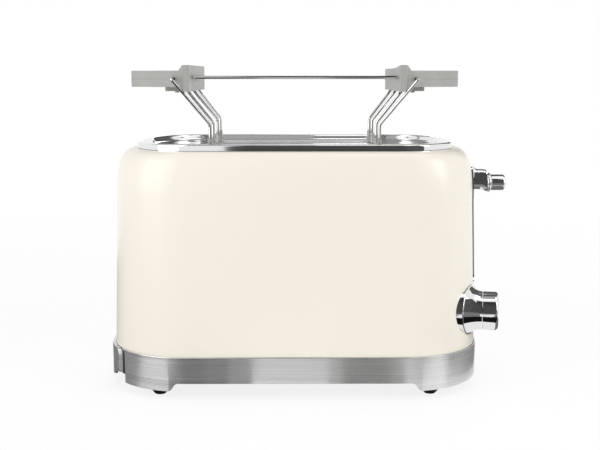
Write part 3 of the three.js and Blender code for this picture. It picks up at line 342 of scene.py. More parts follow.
@dataclass(frozen=True)
class Enamel(Finish):
    """Glossy stoved enamel with a faint orange peel under a clear top coat."""

    tint: Span = patches(5.0, 0.006)
    gloss: Span = clouds(15.5, 0.004)
    reliefs: tuple[tuple[Pattern, float], ...] = (
        (Pattern(Kind.NOISE, 430.0, 1.0), 0.012 * MM),
        (Pattern(Kind.NOISE, 2600.0, 1.0), 0.002 * MM),
    )
    sockets: tuple[tuple[str, float], ...] = (("Coat_Weight", 0.25), ("Coat_Roughness", 0.22))


@dataclass(frozen=True)
class Chrome(Finish):
    """Polished plating with faint wiping marks and fine hairlines."""

    tint: Span = patches(22.0, 0.012)
    gloss: Span = clouds(68.2, 0.015)
    reliefs: tuple[tuple[Pattern, float], ...] = (
        (Pattern(Kind.NOISE, 1.0, 4.0, (60, 1500, 1500)), 0.0006 * MM),
    )


@dataclass(frozen=True)
class BrushedSteel(Finish):
    """Stainless strip with a satin grain that runs round the body."""

    tint: Span = Span(Pattern(Kind.NOISE, 1.0, 5.0, (14, 14, 3400)), 0.9, 1.1)
    gloss: Span = Span(Pattern(Kind.NOISE, 1.0, 2.0, (6, 6, 900)), -0.05, 0.06)
    reliefs: tuple[tuple[Pattern, float], ...] = (
        (Pattern(Kind.NOISE, 1.0, 5.0, (14, 14, 3400)), 0.006 * MM),
    )
    sockets: tuple[tuple[str, float], ...] = (("Anisotropic", 0.9), ("Anisotropic_Rotation", 0.25))

    def detail(self, sheet: NodeSheet) -> None:
        """Lays the grain round the upright."""
        tangent = add_node(sheet.tree, "ShaderNodeTangent", direction_type="RADIAL", axis="Z")
        sheet.drive("Tangent", tangent.outputs["Tangent"])


@dataclass(frozen=True)
class SheetSteel(Finish):
    """Plain rolled steel with streaks from the mill and a few dull patches."""

    tint: Span = patches(35.0, 0.08)
    gloss: Span = clouds(108.5, 0.08)
    reliefs: tuple[tuple[Pattern, float], ...] = (
        (Pattern(Kind.NOISE, 1.0, 3.0, (1400, 1400, 40)), 0.004 * MM),
    )


@dataclass(frozen=True)
class MouldedPlastic(Finish):
    """Plastic with the fine spark texture of its mould."""

    gloss: Span = clouds(186.0, 0.05)
    reliefs: tuple[tuple[Pattern, float], ...] = (
        (Pattern(Kind.NOISE, 1900.0), 0.03 * MM),
        (Pattern(Kind.CELLS, 900.0), 0.012 * MM),
    )


@dataclass(frozen=True)
class Rubber(Finish):
    """Matt moulded rubber with a little dust."""

    tint: Span = Span(Pattern(Kind.NOISE, 150.0, 6.0), 1.0, 2.2)
    gloss: Span = Span(Pattern(Kind.NOISE, 150.0, 6.0), -0.08, 0.08)
    reliefs: tuple[tuple[Pattern, float], ...] = ((Pattern(Kind.NOISE, 2400.0), 0.04 * MM),)
    sockets: tuple[tuple[str, float], ...] = (("Specular_IOR_Level", 0.05),)


@dataclass(frozen=True)
class Mica(Finish):
    """Pressed mica with overlapping flakes."""

    tint: Span = Span(Pattern(Kind.CELLS, 260.0, stretch=(1, 1, 0.6)), 0.72, 1.25)
    gloss: Span = Span(Pattern(Kind.CELLS, 260.0, stretch=(1, 1, 0.6)), -0.2, 0.0)
    reliefs: tuple[tuple[Pattern, float], ...] = (
        (Pattern(Kind.CELLS, 260.0, stretch=(1, 1, 0.6)), 0.02 * MM),
    )


@dataclass(frozen=True)
class CopperWinding(Finish):
    """Varnished copper wire in close turns."""

    tint: Span = Span(Pattern(Kind.TURNS, 420.0), 0.45, 1.2)
    reliefs: tuple[tuple[Pattern, float], ...] = ((Pattern(Kind.TURNS, 420.0), 0.15 * MM),)
    sockets: tuple[tuple[str, float], ...] = (("Coat_Weight", 0.5),)


@dataclass(frozen=True)
class CircuitBoard(Finish):
    """Glass-fibre board under green solder mask, with tracks that show through."""

    tint: Span = Span(Pattern(Kind.CELLS, 170.0, stretch=(1, 1, 1.6)), 0.7, 1.5)
    reliefs: tuple[tuple[Pattern, float], ...] = (
        (Pattern(Kind.CELLS, 170.0, stretch=(1, 1, 1.6)), 0.03 * MM),
        (Pattern(Kind.NOISE, 1600.0), 0.01 * MM),
    )


@dataclass(frozen=True)
class Silicone(Finish):
    """Clear silicone rubber, slightly milky."""

    tint: Span = patches(90.0, 0.03)
    gloss: Span = clouds(279.0, 0.06)
    reliefs: tuple[tuple[Pattern, float], ...] = ((Pattern(Kind.NOISE, 1500.0), 0.01 * MM),)
    sockets: tuple[tuple[str, float], ...] = (("Transmission_Weight", 0.85), ("IOR", 1.41))


ENAMEL = Enamel("enamel", "enamel", (0.87, 0.825, 0.725), 0.30)
CHROME = Chrome("chrome", "chrome", (0.80, 0.80, 0.80), 0.05, 1.0)
WIRE_STEEL = Chrome("wire_steel", "chrome", (0.55, 0.55, 0.54), 0.12, 1.0)
BAND_STEEL = BrushedSteel("band_steel", "brushed_steel", (0.72, 0.72, 0.72), 0.30, 1.0)
# Pale, mostly matt slot lips: the colour is a painted reflection of the white that the polished lips
# mirror.
LIP_PAINTED_REFLECTION = SheetSteel("satin_lip", "chrome", (0.84, 0.84, 0.83), 0.5, 0.15)
SHEET_STEEL = SheetSteel("sheet_steel", "sheet_steel", (0.52, 0.53, 0.53), 0.42, 1.0)
BLACK_PLASTIC = MouldedPlastic("black_plastic", "black_plastic", (0.02, 0.02, 0.022), 0.5)
GREY_PLASTIC = MouldedPlastic("grey_plastic", "grey_plastic", (0.36, 0.36, 0.34), 0.42)
RUBBER = Rubber("rubber", "rubber", (0.009, 0.009, 0.009), 0.8)
MICA = Mica("mica", "mica", (0.58, 0.47, 0.30), 0.7)
COPPER = CopperWinding("copper", "copper", (0.40, 0.14, 0.05), 0.4, 1.0)
BOARD = CircuitBoard("board", "board", (0.05, 0.15, 0.06), 0.5)
SILICONE = Silicone("silicone", None, (0.80, 0.79, 0.76), 0.30)

CARRIED_FINISHES = (
    ENAMEL,
    CHROME,
    BAND_STEEL,
    SHEET_STEEL,
    BLACK_PLASTIC,
    GREY_PLASTIC,
    RUBBER,
    MICA,
    COPPER,
    BOARD,
)


def smooth(mesh: bpy.types.Mesh, crease: float) -> None:
    """Shades a mesh smooth, apart from its sharp edges.

    Args:
        mesh: The mesh.
        crease: Edges sharper than this stay sharp, in degrees.
    """
    mesh.polygons.foreach_set("use_smooth", [True] * len(mesh.polygons))
    mesh.set_sharp_from_angle(angle=math.radians(crease))


class Draft:
    """The points and faces of one piece, from the middle of the body."""

    def __init__(self) -> None:
        """Starts an empty draft."""
        self.points: list[Vector] = []
        self.faces: list[tuple[int, ...]] = []

    def loft(self, rings: Sequence[Sequence[Vector]], ends: bool = True) -> "Draft":
        """Joins rings one after another.

        Args:
            rings: The rings, all with as many points.
            ends: Whether the first and the last ring are closed.

        Returns:
            The draft itself.
        """
        count = len(rings[0])
        numbered = []
        for ring in rings:
            start = len(self.points)
            numbered.append(range(start, start + count))
            self.points.extend(ring)
        for lower, upper in zip(numbered, numbered[1:]):
            for n in range(count):
                after = (n + 1) % count
                self.faces.append((lower[n], lower[after], upper[after], upper[n]))
        if ends:
            self.faces += [tuple(reversed(numbered[0])), tuple(numbered[-1])]
        return self

    def turn(self, profile: Sequence[tuple[float, float]], frame_of: Matrix, sides: int = 48) -> "Draft":
        """Adds a solid of revolution.

        Args:
            profile: Pairs of radius and place along the axis.
            frame_of: The frame whose Z axis it turns about.
            sides: Points round the axis.

        Returns:
            The draft itself.
        """
        rings = []
        for radius, along in profile:
            ring = []
            for n in range(sides):
                angle = math.tau * n / sides
                ring.append(frame_of @ Vector((radius * math.cos(angle), radius * math.sin(angle), along)))
            rings.append(ring)
        return self.loft(rings)

    def sweep(self, path: Sequence[Vector], radius: float, sides: int = 16) -> "Draft":
        """Adds a round wire along a path, with the same side up all the way.

        Args:
            path: The points that it follows.
            radius: The wire's radius.
            sides: Points round the wire.

        Returns:
            The draft itself.
        """
        rings = []
        side = Vector()
        for n, point in enumerate(path):
            ahead = path[min(n + 1, len(path) - 1)] - path[max(n - 1, 0)]
            along = ahead.normalized()
            if n == 0:
                side = along.orthogonal().normalized()
            side = (side - along * side.dot(along)).normalized()
            other = along.cross(side)
            ring = []
            for step in range(sides):
                angle = math.tau * step / sides
                ring.append(point + (side * math.cos(angle) + other * math.sin(angle)) * radius)
            rings.append(ring)
        return self.loft(rings)

    def box(self, low: Place, high: Place) -> "Draft":
        """Adds a plain block.

        Args:
            low: Its lowest corner.
            high: Its highest corner.

        Returns:
            The draft itself.
        """
        corners = ((low[0], low[1]), (high[0], low[1]), (high[0], high[1]), (low[0], high[1]))
        return self.loft([[Vector((x, y, z)) for x, y in corners] for z in (low[2], high[2])])

    def tool(self, name: str = "tool", crease: float = CREASE) -> Item:
        """Turns the draft into a bare object, such as a cutting tool.

        Args:
            name: The object's name.
            crease: Edges sharper than this stay sharp, in degrees.

        Returns:
            The object.
        """
        mesh = bpy.data.meshes.new(name)
        mesh.from_pydata([point + MIDDLE for point in self.points], [], self.faces)
        tidy = bmesh.new()
        tidy.from_mesh(mesh)
        bmesh.ops.remove_doubles(tidy, verts=tidy.verts, dist=SAME_POINT)
        bmesh.ops.recalc_face_normals(tidy, faces=tidy.faces)
        tidy.to_mesh(mesh)
        tidy.free()
        smooth(mesh, crease)
        item = bpy.data.objects.new(name, mesh)
        bpy.context.scene.collection.objects.link(item)
        return item

    def build(self, name: str, finish: Finish, body: Body = Body.HOUSING, crease: float = CREASE) -> Item:
        """Turns the draft into a piece that rides on a body.

        Args:
            name: The piece's name.
            finish: Its finish.
            body: The body that it rides on.
            crease: Edges sharper than this stay sharp, in degrees.

        Returns:
            The piece.
        """
        item = self.tool(name, crease)
        item.data.materials.append(finish.material())
        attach(item, body.value)
        return item


def carve(target: Item, tools: Sequence[Item], cut: Cut = Cut.TAKE_OUT) -> None:
    """Cuts a piece with tools and removes them.

    Args:
        target: The piece.
        tools: The cutting tools.
        cut: Whether the tools are taken out or hold what is kept.
    """
    for tool in tools:
        modifier = target.modifiers.new("cut", "BOOLEAN")
        modifier.operation = cut.value
        modifier.solver = "EXACT"
        modifier.object = tool
    graph = bpy.context.evaluated_depsgraph_get()
    carved = bpy.data.meshes.new_from_object(target.evaluated_get(graph))
    target.modifiers.clear()
    target.data = carved
    smooth(carved, CREASE)
    for tool in tools:
        bpy.data.objects.remove(tool)


def frame_at(place: Place, axis: Axis, turn: float = 0.0) -> Matrix:
    """Gives the frame of a turned piece.

    Args:
        place: Its origin, from the middle of the body.
        axis: The way that its Z axis points before it is turned.
        turn: How far it is turned about the upright, in radians.

    Returns:
        The frame.
    """
    tip = Vector(axis.value).to_track_quat("Z", "Y").to_matrix().to_4x4()
    return Matrix.Translation(place) @ Matrix.Rotation(turn, 4, "Z") @ tip


def quarter(steps: int) -> list[tuple[float, float]]:
    """Gives a quarter round, from upright to level, for a radius of one.

    Args:
        steps: Its steps.

    Returns:
        Pairs of how far in and how far up.
    """
    angles = [step / steps * math.pi / 2 for step in range(steps + 1)]
    return [(1 - math.cos(angle), math.sin(angle)) for angle in angles]


def rounded_ring(
    half_x: float,
    half_y: float,
    radius: float,
    height: float,
    steps: int = 24,
    centre: tuple[float, float] = (0.0, 0.0),
) -> list[Vector]:
    """Draws a level rectangle with round corners.

    A short step leads into and out of each corner, so that the straight sides are shaded flat.

    Args:
        half_x: Half its length.
        half_y: Half its depth.
        radius: Radius of its corners.
        height: Its height.
        steps: Steps in each corner.
        centre: Its middle in plan.

    Returns:
        Its points, anticlockwise.
    """
    ring = []
    straights = ((half_y - radius) * EASE, (half_x - radius) * EASE)
    for corner, (way_x, way_y) in enumerate(((1, 1), (-1, 1), (-1, -1), (1, -1))):
        x = centre[0] + way_x * (half_x - radius)
        y = centre[1] + way_y * (half_y - radius)
        middle = Vector((x, y, height))
        arc = []
        for step in range(steps + 1):
            angle = (corner + step / steps) * math.pi / 2
            arc.append(middle + Vector((math.cos(angle), math.sin(angle), 0.0)) * radius)
        first, last = corner * math.pi / 2, (corner + 1) * math.pi / 2
        before = Vector((-math.sin(first), math.cos(first), 0.0)) * straights[corner % 2]
        after = Vector((-math.sin(last), math.cos(last), 0.0)) * straights[(corner + 1) % 2]
        ring += [arc[0] - before, *arc, arc[-1] + after]
    return ring


def quadratic(start: Vector, middle: Vector, end: Vector, share: float) -> Vector:
    """Gives a point of the curve that starts and ends towards a middle point.

    Args:
        start: The curve's start.
        middle: The point that both ends head for.
        end: The curve's end.
        share: How far along the point is, from 0 to 1.

    Returns:
        The point.
    """
    return start.lerp(middle, share).lerp(middle.lerp(end, share), share)


def rounded_path(corners: Sequence[Place], radii: Sequence[float], steps: int = 8) -> list[Vector]:
    """Rounds the inner corners of a path.

    Args:
        corners: The path's corners.
        radii: The radius of the bend at each inner corner.
        steps: Steps in each bend.

    Returns:
        The path's points.
    """
    points = [Vector(corner) for corner in corners]
    path = [points[0]]
    for before, corner, after, radius in zip(points, points[1:], points[2:], radii):
        back = (before - corner).normalized()
        onward = (after - corner).normalized()
        reach = radius / math.tan(back.angle(onward) / 2)
        start, end = corner + back * reach, corner + onward * reach
        path += [quadratic(start, corner, end, step / steps) for step in range(steps + 1)]
    path.append(points[-1])
    return path


@dataclass(frozen=True)
class Outline:
    """How far a form lies inside the band's plan: at the ends, the sides and in its corners."""

    ends: float
    sides: float
    corners: float

    def deeper(self, inset: float) -> "Outline":
        """Gives the outline moved in all round by an inset."""
        return Outline(self.ends + inset, self.sides + inset, self.corners + inset)


@dataclass(frozen=True)
class BodyPlan:
    """The body in plan, over its band, and the shell's profile from foot to top."""

    half_length: float = 152.6 * MM
    half_depth: float = 89.0 * MM
    corner_radius: float = 64.0 * MM
    inset: float = 1.3 * MM
    draft: float = 4.0 * MM
    foot: float = 34.05 * MM
    shoulder_start: float = 150.0 * MM
    top: float = 196.0 * MM
    end_shoulder: float = 17.2 * MM
    side_shoulder: float = 12.4 * MM
    corner_shoulder: float = 8.7 * MM
    power: float = 2 / 3

    def shoulder(self, share: float) -> Outline:
        """Gives the shell's outline at a share of the way in over the shoulder.

        Args:
            share: The share, from 0 to 1.

        Returns:
            The outline.
        """
        inset = self.inset + self.draft
        return Outline(
            inset + self.end_shoulder * share,
            inset + self.side_shoulder * share,
            inset + self.corner_shoulder * share,
        )

    def ring(self, outline: Outline, height: float, steps: int = 24) -> list[Vector]:
        """Draws an outline at a height.

        Args:
            outline: The outline.
            height: The height.
            steps: Steps in each corner.

        Returns:
            Its points.
        """
        return rounded_ring(
            self.half_length - outline.ends,
            self.half_depth - outline.sides,
            self.corner_radius - outline.corners,
            height,
            steps,
        )


PLAN = BodyPlan()


@dataclass(frozen=True)
class BrowningKnob:
    """The browning knob, and the hollow-sided cone that leans with the shell's round corner.

    The face's groove gives pairs of how far in from the rounding and how deep.
    """

    place: Place = (143.527 * MM, -53.0 * MM, 64.6 * MM)
    turn: float = -math.pi / 17
    flange_radius: float = 20.8 * MM
    flange_edge: float = 0.7 * MM
    flange_rise: float = 0.8 * MM
    flange_lean: float = math.pi / 11
    cone_radius: float = 19.4 * MM
    seam: float = 10.0 * MM
    radius: float = 15.8 * MM
    end: float = 23.0 * MM
    edge: float = 3.0 * MM
    gap: float = 0.3 * MM
    bore: float = 3.3 * MM
    grip: float = 7.0 * MM
    seat: float = 0.4 * MM
    middle: float = 0.25 * MM
    groove: Plan = ((0.8, 0.0), (1.1, 0.25), (1.8, 0.25), (2.1, 0.0))
    pointer_start: float = 3.95 * MM
    pointer_half_width: float = 0.8 * MM
    pointer_depth: float = 0.8 * MM
    sides: int = 96
    steps: int = 16
    edge_steps: int = 4
    crease: float = 40.0

    def frame(self) -> Matrix:
        """Gives the knob's frame, whose X axis it turns about."""
        return Matrix.Translation(self.place) @ Matrix.Rotation(self.turn, 4, "Z")

    def face(self, across: float, _up: float) -> float:
        """Gives the place along the axis of the flange's leaning face."""
        return self.flange_rise + across * math.tan(self.flange_lean)

    def rim(self, across: float, up: float) -> float:
        """Gives the place along the axis of the flange's edge."""
        return self.face(across, up) - self.flange_edge

    def seat_at(self, across: float, up: float) -> float:
        """Finds where a line along the knob's axis has just gone into the shell's wall.

        Args:
            across: How far the line is behind the axis.
            up: How far it is over the axis.

        Returns:
            The place along the axis.
        """
        start = self.frame() @ Vector((0.0, across, up))
        way = Vector((math.cos(self.turn), math.sin(self.turn)))
        share = (start.z - PLAN.foot) / (PLAN.shoulder_start - PLAN.foot)
        inset = PLAN.inset + PLAN.draft * share + self.seat
        middle = Vector((PLAN.half_length - PLAN.corner_radius, PLAN.corner_radius - PLAN.half_depth))
        flat = (PLAN.half_length - inset - start.x) / way.x
        behind = self.rim(across, up) - self.gap
        if start.y + way.y * flat > middle.y:
            return min(flat, behind)
        offset = start.xy - middle
        half = offset.dot(way)
        reach = (PLAN.corner_radius - inset) ** 2 - offset.length_squared
        return min(math.sqrt(half * half + reach) - half, behind)

    def ring(self, radius: float, along: Callable[[float, float], float]) -> list[Vector]:
        """Draws a ring round the axis.

        Args:
            radius: Its radius.
            along: Gives the place along the axis of each of its points.

        Returns:
            Its points.
        """
        ring = []
        for n in range(self.sides):
            angle = math.tau * n / self.sides
            across, up = radius * math.cos(angle), radius * math.sin(angle)
            ring.append(self.frame() @ Vector((along(across, up), across, up)))
        return ring

    def escutcheon(self) -> Item:
        """Builds the cone and its flange.

        Returns:
            The piece.
        """
        rings = [self.ring(self.flange_radius, self.seat_at)]
        for inward, rise in quarter(self.edge_steps):
            rings.append(
                self.ring(
                    self.flange_radius - self.flange_edge * inward,
                    lambda across, up, rise=rise: self.rim(across, up) + self.flange_edge * rise,
                )
            )
        for step in range(self.steps + 1):
            share = step / self.steps
            rings.append(
                self.ring(
                    self.radius + (self.cone_radius - self.radius) * (1 - share) ** 2,
                    lambda across, up, share=share: self.face(across, up) * (1 - share) + self.seam * share,
                )
            )
        rings.append(self.ring(self.bore, lambda across, up: self.seam))
        rings.append(self.ring(self.bore, self.seat_at))
        draft = Draft().loft([*rings, rings[0]], ends=False)
        cone = draft.build("knob_cone", CHROME, crease=self.crease)
        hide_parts("knob_escutcheon")
        return cone

    def knob(self) -> Item:
        """Builds the knob.

        Returns:
            The piece.
        """
        start = self.seam + self.gap
        profile = [
            (self.bore, start + self.grip),
            (self.bore, start),
            (self.radius - self.gap, start),
            (self.radius, start + self.gap),
        ]
        for inward, rise in quarter(self.steps):
            profile.append((self.radius - self.edge * inward, self.end - self.edge * (1 - rise)))
        face = self.radius - self.edge
        profile += [(face - inward * MM, self.end - depth * MM) for inward, depth in self.groove]
        profile.append((self.middle, self.end))
        draft = Draft().turn(profile, frame_at(self.place, Axis.X, self.turn), self.sides)
        knob = draft.build("knob_turned", CHROME, Body.KNOB)
        half, low = self.pointer_half_width, self.pointer_start
        corners = ((-half, low), (half, low), (half, face), (-half, face))
        pointer = [
            [self.frame() @ Vector((along, across, up)) for across, up in corners]
            for along in (self.end - self.pointer_depth, self.end + self.gap)
        ]
        carve(knob, [Draft().loft(pointer).tool()])
        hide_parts("knob")
        return knob

    def build(self) -> list[Item]:
        """Builds the knob and its cone.

        Returns:
            The pieces.
        """
        return [self.escutcheon(), self.knob()]


@dataclass(frozen=True)
class PushButtons:
    """The three short buttons beside the knob.

    Each key gives its CAD node, its body and its place from front to back.
    """

    keys: tuple[tuple[str, Body, float], ...] = (
        ("cancel_button", Body.CANCEL, -10.0 * MM),
        ("reheat_button", Body.REHEAT, 4.0 * MM),
        ("defrost_button", Body.DEFROST, 18.0 * MM),
    )
    height: float = 58.0 * MM
    face: float = 155.0 * MM
    head: float = 10.0 * MM
    radius: float = 4.5 * MM
    stem_radius: float = 2.0 * MM
    edge: float = 1.0 * MM
    edge_steps: int = 8
    dish: float = 0.3 * MM
    dish_radius: float = 3.2 * MM
    dish_shares: tuple[float, ...] = (0.8, 0.5, 0.05)

    def build(self) -> list[Item]:
        """Builds the buttons.

        Returns:
            The pieces.
        """
        pieces = []
        for node, body, across in self.keys:
            profile = [
                (self.stem_radius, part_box(node)[0].x - MIDDLE.x),
                (self.stem_radius, self.face - self.head),
                (self.radius, self.face - self.head),
            ]
            for inward, rise in quarter(self.edge_steps):
                profile.append((self.radius - self.edge * inward, self.face - self.edge * (1 - rise)))
            profile.append((self.dish_radius, self.face))
            for share in self.dish_shares:
                profile.append((self.dish_radius * share, self.face - self.dish * (1 - share * share)))
            draft = Draft().turn(profile, frame_at((0.0, across, self.height), Axis.X))
            button = draft.build(f"{node}_turned", CHROME, body, SOFT_CREASE)
            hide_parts(node)
            pieces.append(button)
        return pieces


@dataclass(frozen=True)
class BandBead:
    """The polished bead along the band's upper edge, open at the crumb tray's panel."""

    radius: float = 0.5 * MM
    inset: float = 0.6 * MM
    height: float = 34.0 * MM
    opening: float = 60.4 * MM
    steps: int = 96
    sides: int = 12

    def build(self) -> list[Item]:
        """Builds the bead.

        Returns:
            The piece.
        """
        outline = Outline(self.inset, self.inset, self.inset)
        ring = [
            point
            for point in PLAN.ring(outline, self.height, self.steps)
            if point.x > 0 or abs(point.y) > self.opening
        ]
        front = [point for point in ring if point.y < 0]
        rear = [point for point in ring if point.y > 0]
        return [Draft().sweep([*front, *rear], self.radius, self.sides).build("band_bead", BAND_STEEL)]


@dataclass(frozen=True)
class EnamelShell:
    """The enamelled shell with its shoulder, folded ledge and cut-outs."""

    wall: float = 1.0 * MM
    ledge: float = 6.4 * MM
    foot_roll: float = 0.35 * MM
    steps: int = 22
    slot_half_width: float = 3.0 * MM
    slot_low: float = 101.7 * MM
    slot_high: float = 168.9 * MM
    cut_inside: float = 12.0 * MM
    cut_outside: float = 4.0 * MM
    hole_radius: float = 4.8 * MM
    hole_sides: int = 32

    def profile(self, depth: float, top: float) -> list[list[Vector]]:
        """Draws the rings of one skin of the shell, foot to top.

        Args:
            depth: How far the skin lies inside the outer surface.
            top: Height of its top.

        Returns:
            The rings.
        """
        foot = Outline(PLAN.inset, PLAN.inset, PLAN.inset).deeper(depth)
        rings = [
            PLAN.ring(foot.deeper(self.foot_roll), PLAN.foot),
            PLAN.ring(foot, PLAN.foot + self.foot_roll),
        ]
        rise = top - PLAN.shoulder_start
        for step in range(self.steps + 1):
            angle = step / self.steps * math.pi / 2
            inward = 1 - max(math.cos(angle), 0.0) ** PLAN.power
            height = PLAN.shoulder_start + rise * math.sin(angle) ** PLAN.power
            rings.append(PLAN.ring(PLAN.shoulder(inward).deeper(depth), height))
        return rings

    def slot_tool(self, start: float, end: float) -> Item:
        """Builds the tool for the lever's slot.

        Args:
            start: Where it starts along the body.
            end: Where it ends.

        Returns:
            The tool.
        """
        low = (start, -self.slot_half_width, self.slot_low)
        return Draft().box(low, (end, self.slot_half_width, self.slot_high)).tool()

    def tools(self) -> list[Item]:
        """Builds what is cut out of the end wall.

        Returns:
            The cutting tools.
        """
        start, end = PLAN.half_length - self.cut_inside, PLAN.half_length + self.cut_outside
        tools = [self.slot_tool(start, end)]
        buttons = PushButtons()
        for _, _, place in buttons.keys:
            hole = [(self.hole_radius, 0.0), (self.hole_radius, end - start)]
            frame_of = frame_at((start, place, buttons.height), Axis.X)
            tools.append(Draft().turn(hole, frame_of, self.hole_sides).tool())
        knob = BrowningKnob()
        bore = [(knob.bore, -knob.end), (knob.bore, knob.end)]
        frame_of = frame_at(knob.place, Axis.X, knob.turn)
        tools.append(Draft().turn(bore, frame_of, self.hole_sides).tool())
        return tools

    def build(self) -> list[Item]:
        """Builds the shell.

        Returns:
            The piece.
        """
        edge = PLAN.shoulder(1.0).deeper(self.ledge)
        rings = [
            *self.profile(0.0, PLAN.top),
            PLAN.ring(edge, PLAN.top),
            PLAN.ring(edge, PLAN.top - self.wall),
            *reversed(self.profile(self.wall, PLAN.top - self.wall)),
        ]
        draft = Draft().loft([*rings, rings[0]], ends=False)
        shell = draft.build("shell_enamel", ENAMEL)
        carve(shell, self.tools())
        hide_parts("outer_shell")
        return [shell]


@dataclass(frozen=True)
class LeverBezel:
    """The raised plate round the lever's slot, which follows the end wall."""

    seat: float = 0.1 * MM
    rise: float = 2.7 * MM
    half_width: float = 22.0 * MM
    low: float = 79.0 * MM
    high: float = 179.0 * MM
    corner: float = 4.0 * MM
    corner_steps: int = 10
    start: float = 130.0 * MM
    end: float = 160.0 * MM

    def build(self) -> list[Item]:
        """Builds the bezel.

        Returns:
            The piece.
        """
        shell = EnamelShell()
        rings = [
            *shell.profile(-self.rise, PLAN.top),
            *reversed(shell.profile(-self.seat, PLAN.top - self.seat)),
        ]
        skin = Draft().loft([*rings, rings[0]], ends=False)
        bezel = skin.build("lever_bezel", CHROME)
        half = (self.high - self.low) / 2
        outline = rounded_ring(half, self.half_width, self.corner, 0.0, self.corner_steps)
        window = [
            [Vector((along, point.y, self.low + half - point.x)) for point in outline]
            for along in (self.start, self.end)
        ]
        carve(bezel, [Draft().loft(window).tool()], Cut.KEEP_WITHIN)
        carve(bezel, [shell.slot_tool(self.start, self.end)])
        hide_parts("lever_plate")
        return [bezel]


@dataclass(frozen=True)
class PolishedTop:
    """The mirror-polished top plate: rolled rim and dished floor, with two slot lips whose pale, mostly
    matt colour is a painted reflection.
    """

    bottom: float = 196.3 * MM
    top: float = 201.2 * MM
    edge_radius: float = 1.6 * MM
    rim_width: float = 4.0 * MM
    dish: float = 4.9 * MM
    dish_run: float = 4.5 * MM
    slot_half_length: float = 73.0 * MM
    slot_half_width: float = 17.4 * MM
    slot_place: float = 39.0 * MM
    slot_corner: float = 5.0 * MM
    slot_fillet: float = 0.9 * MM
    lip_depth: float = 7.0 * MM
    lip_wall: float = 1.2 * MM
    lip_top: float = 1.08 * MM
    steps: int = 12
    corner_steps: int = 8
    fillet_steps: int = 5

    def rim(self) -> list[list[Vector]]:
        """Draws the rim's rings, from its foot over the roll and down to the floor.

        Returns:
            The rings.
        """
        outline = PLAN.shoulder(1.0)
        rings = [PLAN.ring(outline, self.bottom)]
        for inward, rise in quarter(self.steps):
            height = self.top - self.edge_radius * (1 - rise)
            rings.append(PLAN.ring(outline.deeper(self.edge_radius * inward), height))
        for step in range(self.steps + 1):
            share = step / self.steps
            height = self.top - self.dish * (1 - math.cos(share * math.pi)) / 2
            rings.append(PLAN.ring(outline.deeper(self.rim_width + self.dish_run * share), height))
        return rings

    def lip(self, side: int) -> list[list[Vector]]:
        """Draws the lip that turns down into a slot.

        Args:
            side: -1 for the front slot and 1 for the rear one.

        Returns:
            The rings.
        """
        floor = self.top - self.dish
        low = floor - self.lip_depth
        stations = [
            (self.slot_fillet * (1 - rise), floor - self.slot_fillet * inward)
            for inward, rise in quarter(self.fillet_steps)
        ]
        stations += [(0.0, low), (self.lip_wall, low), (self.lip_wall, floor - self.lip_top)]
        return [
            rounded_ring(
                self.slot_half_length + grow,
                self.slot_half_width + grow,
                self.slot_corner + grow,
                height,
                self.corner_steps,
                (0.0, side * self.slot_place),
            )
            for grow, height in stations
        ]

    def build(self) -> list[Item]:
        """Builds the plate and its lips.

        Returns:
            The pieces.
        """
        rim = self.rim()
        draft = Draft().loft(rim, ends=False)
        plate = draft.build("top_polished", CHROME, crease=SOFT_CREASE)
        lips = [self.lip(side) for side in (-1, 1)]
        edges = Draft()
        for rings in lips:
            edges.loft(rings, ends=False)
        self.fill_floor(plate.data, [rim[-1], *(rings[0] for rings in lips)])
        smooth(plate.data, SOFT_CREASE)
        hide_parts("top_plate")
        # The lips' pale finish is a painted reflection of white, not the plate's own polish.
        return [plate, edges.build("slot_lips", LIP_PAINTED_REFLECTION, crease=SOFT_CREASE)]

    @staticmethod
    def fill_floor(mesh: bpy.types.Mesh, loops: Sequence[Sequence[Vector]]) -> None:
        """Fills the flat floor between the rim and the slots.

        Args:
            mesh: The plate's mesh.
            loops: The floor's outline and the slots' outlines.
        """
        work = bmesh.new()
        work.from_mesh(mesh)
        edges = []
        for loop in loops:
            corners = [work.verts.new(point + MIDDLE) for point in loop]
            for first, second in zip(corners, [*corners[1:], corners[0]]):
                if (first.co - second.co).length > SAME_POINT:
                    edges.append(work.edges.new((first, second)))
        bmesh.ops.triangle_fill(work, use_beauty=True, use_dissolve=False, edges=edges)
        bmesh.ops.remove_doubles(work, verts=work.verts, dist=SAME_POINT)
        work.to_mesh(mesh)
        work.free()


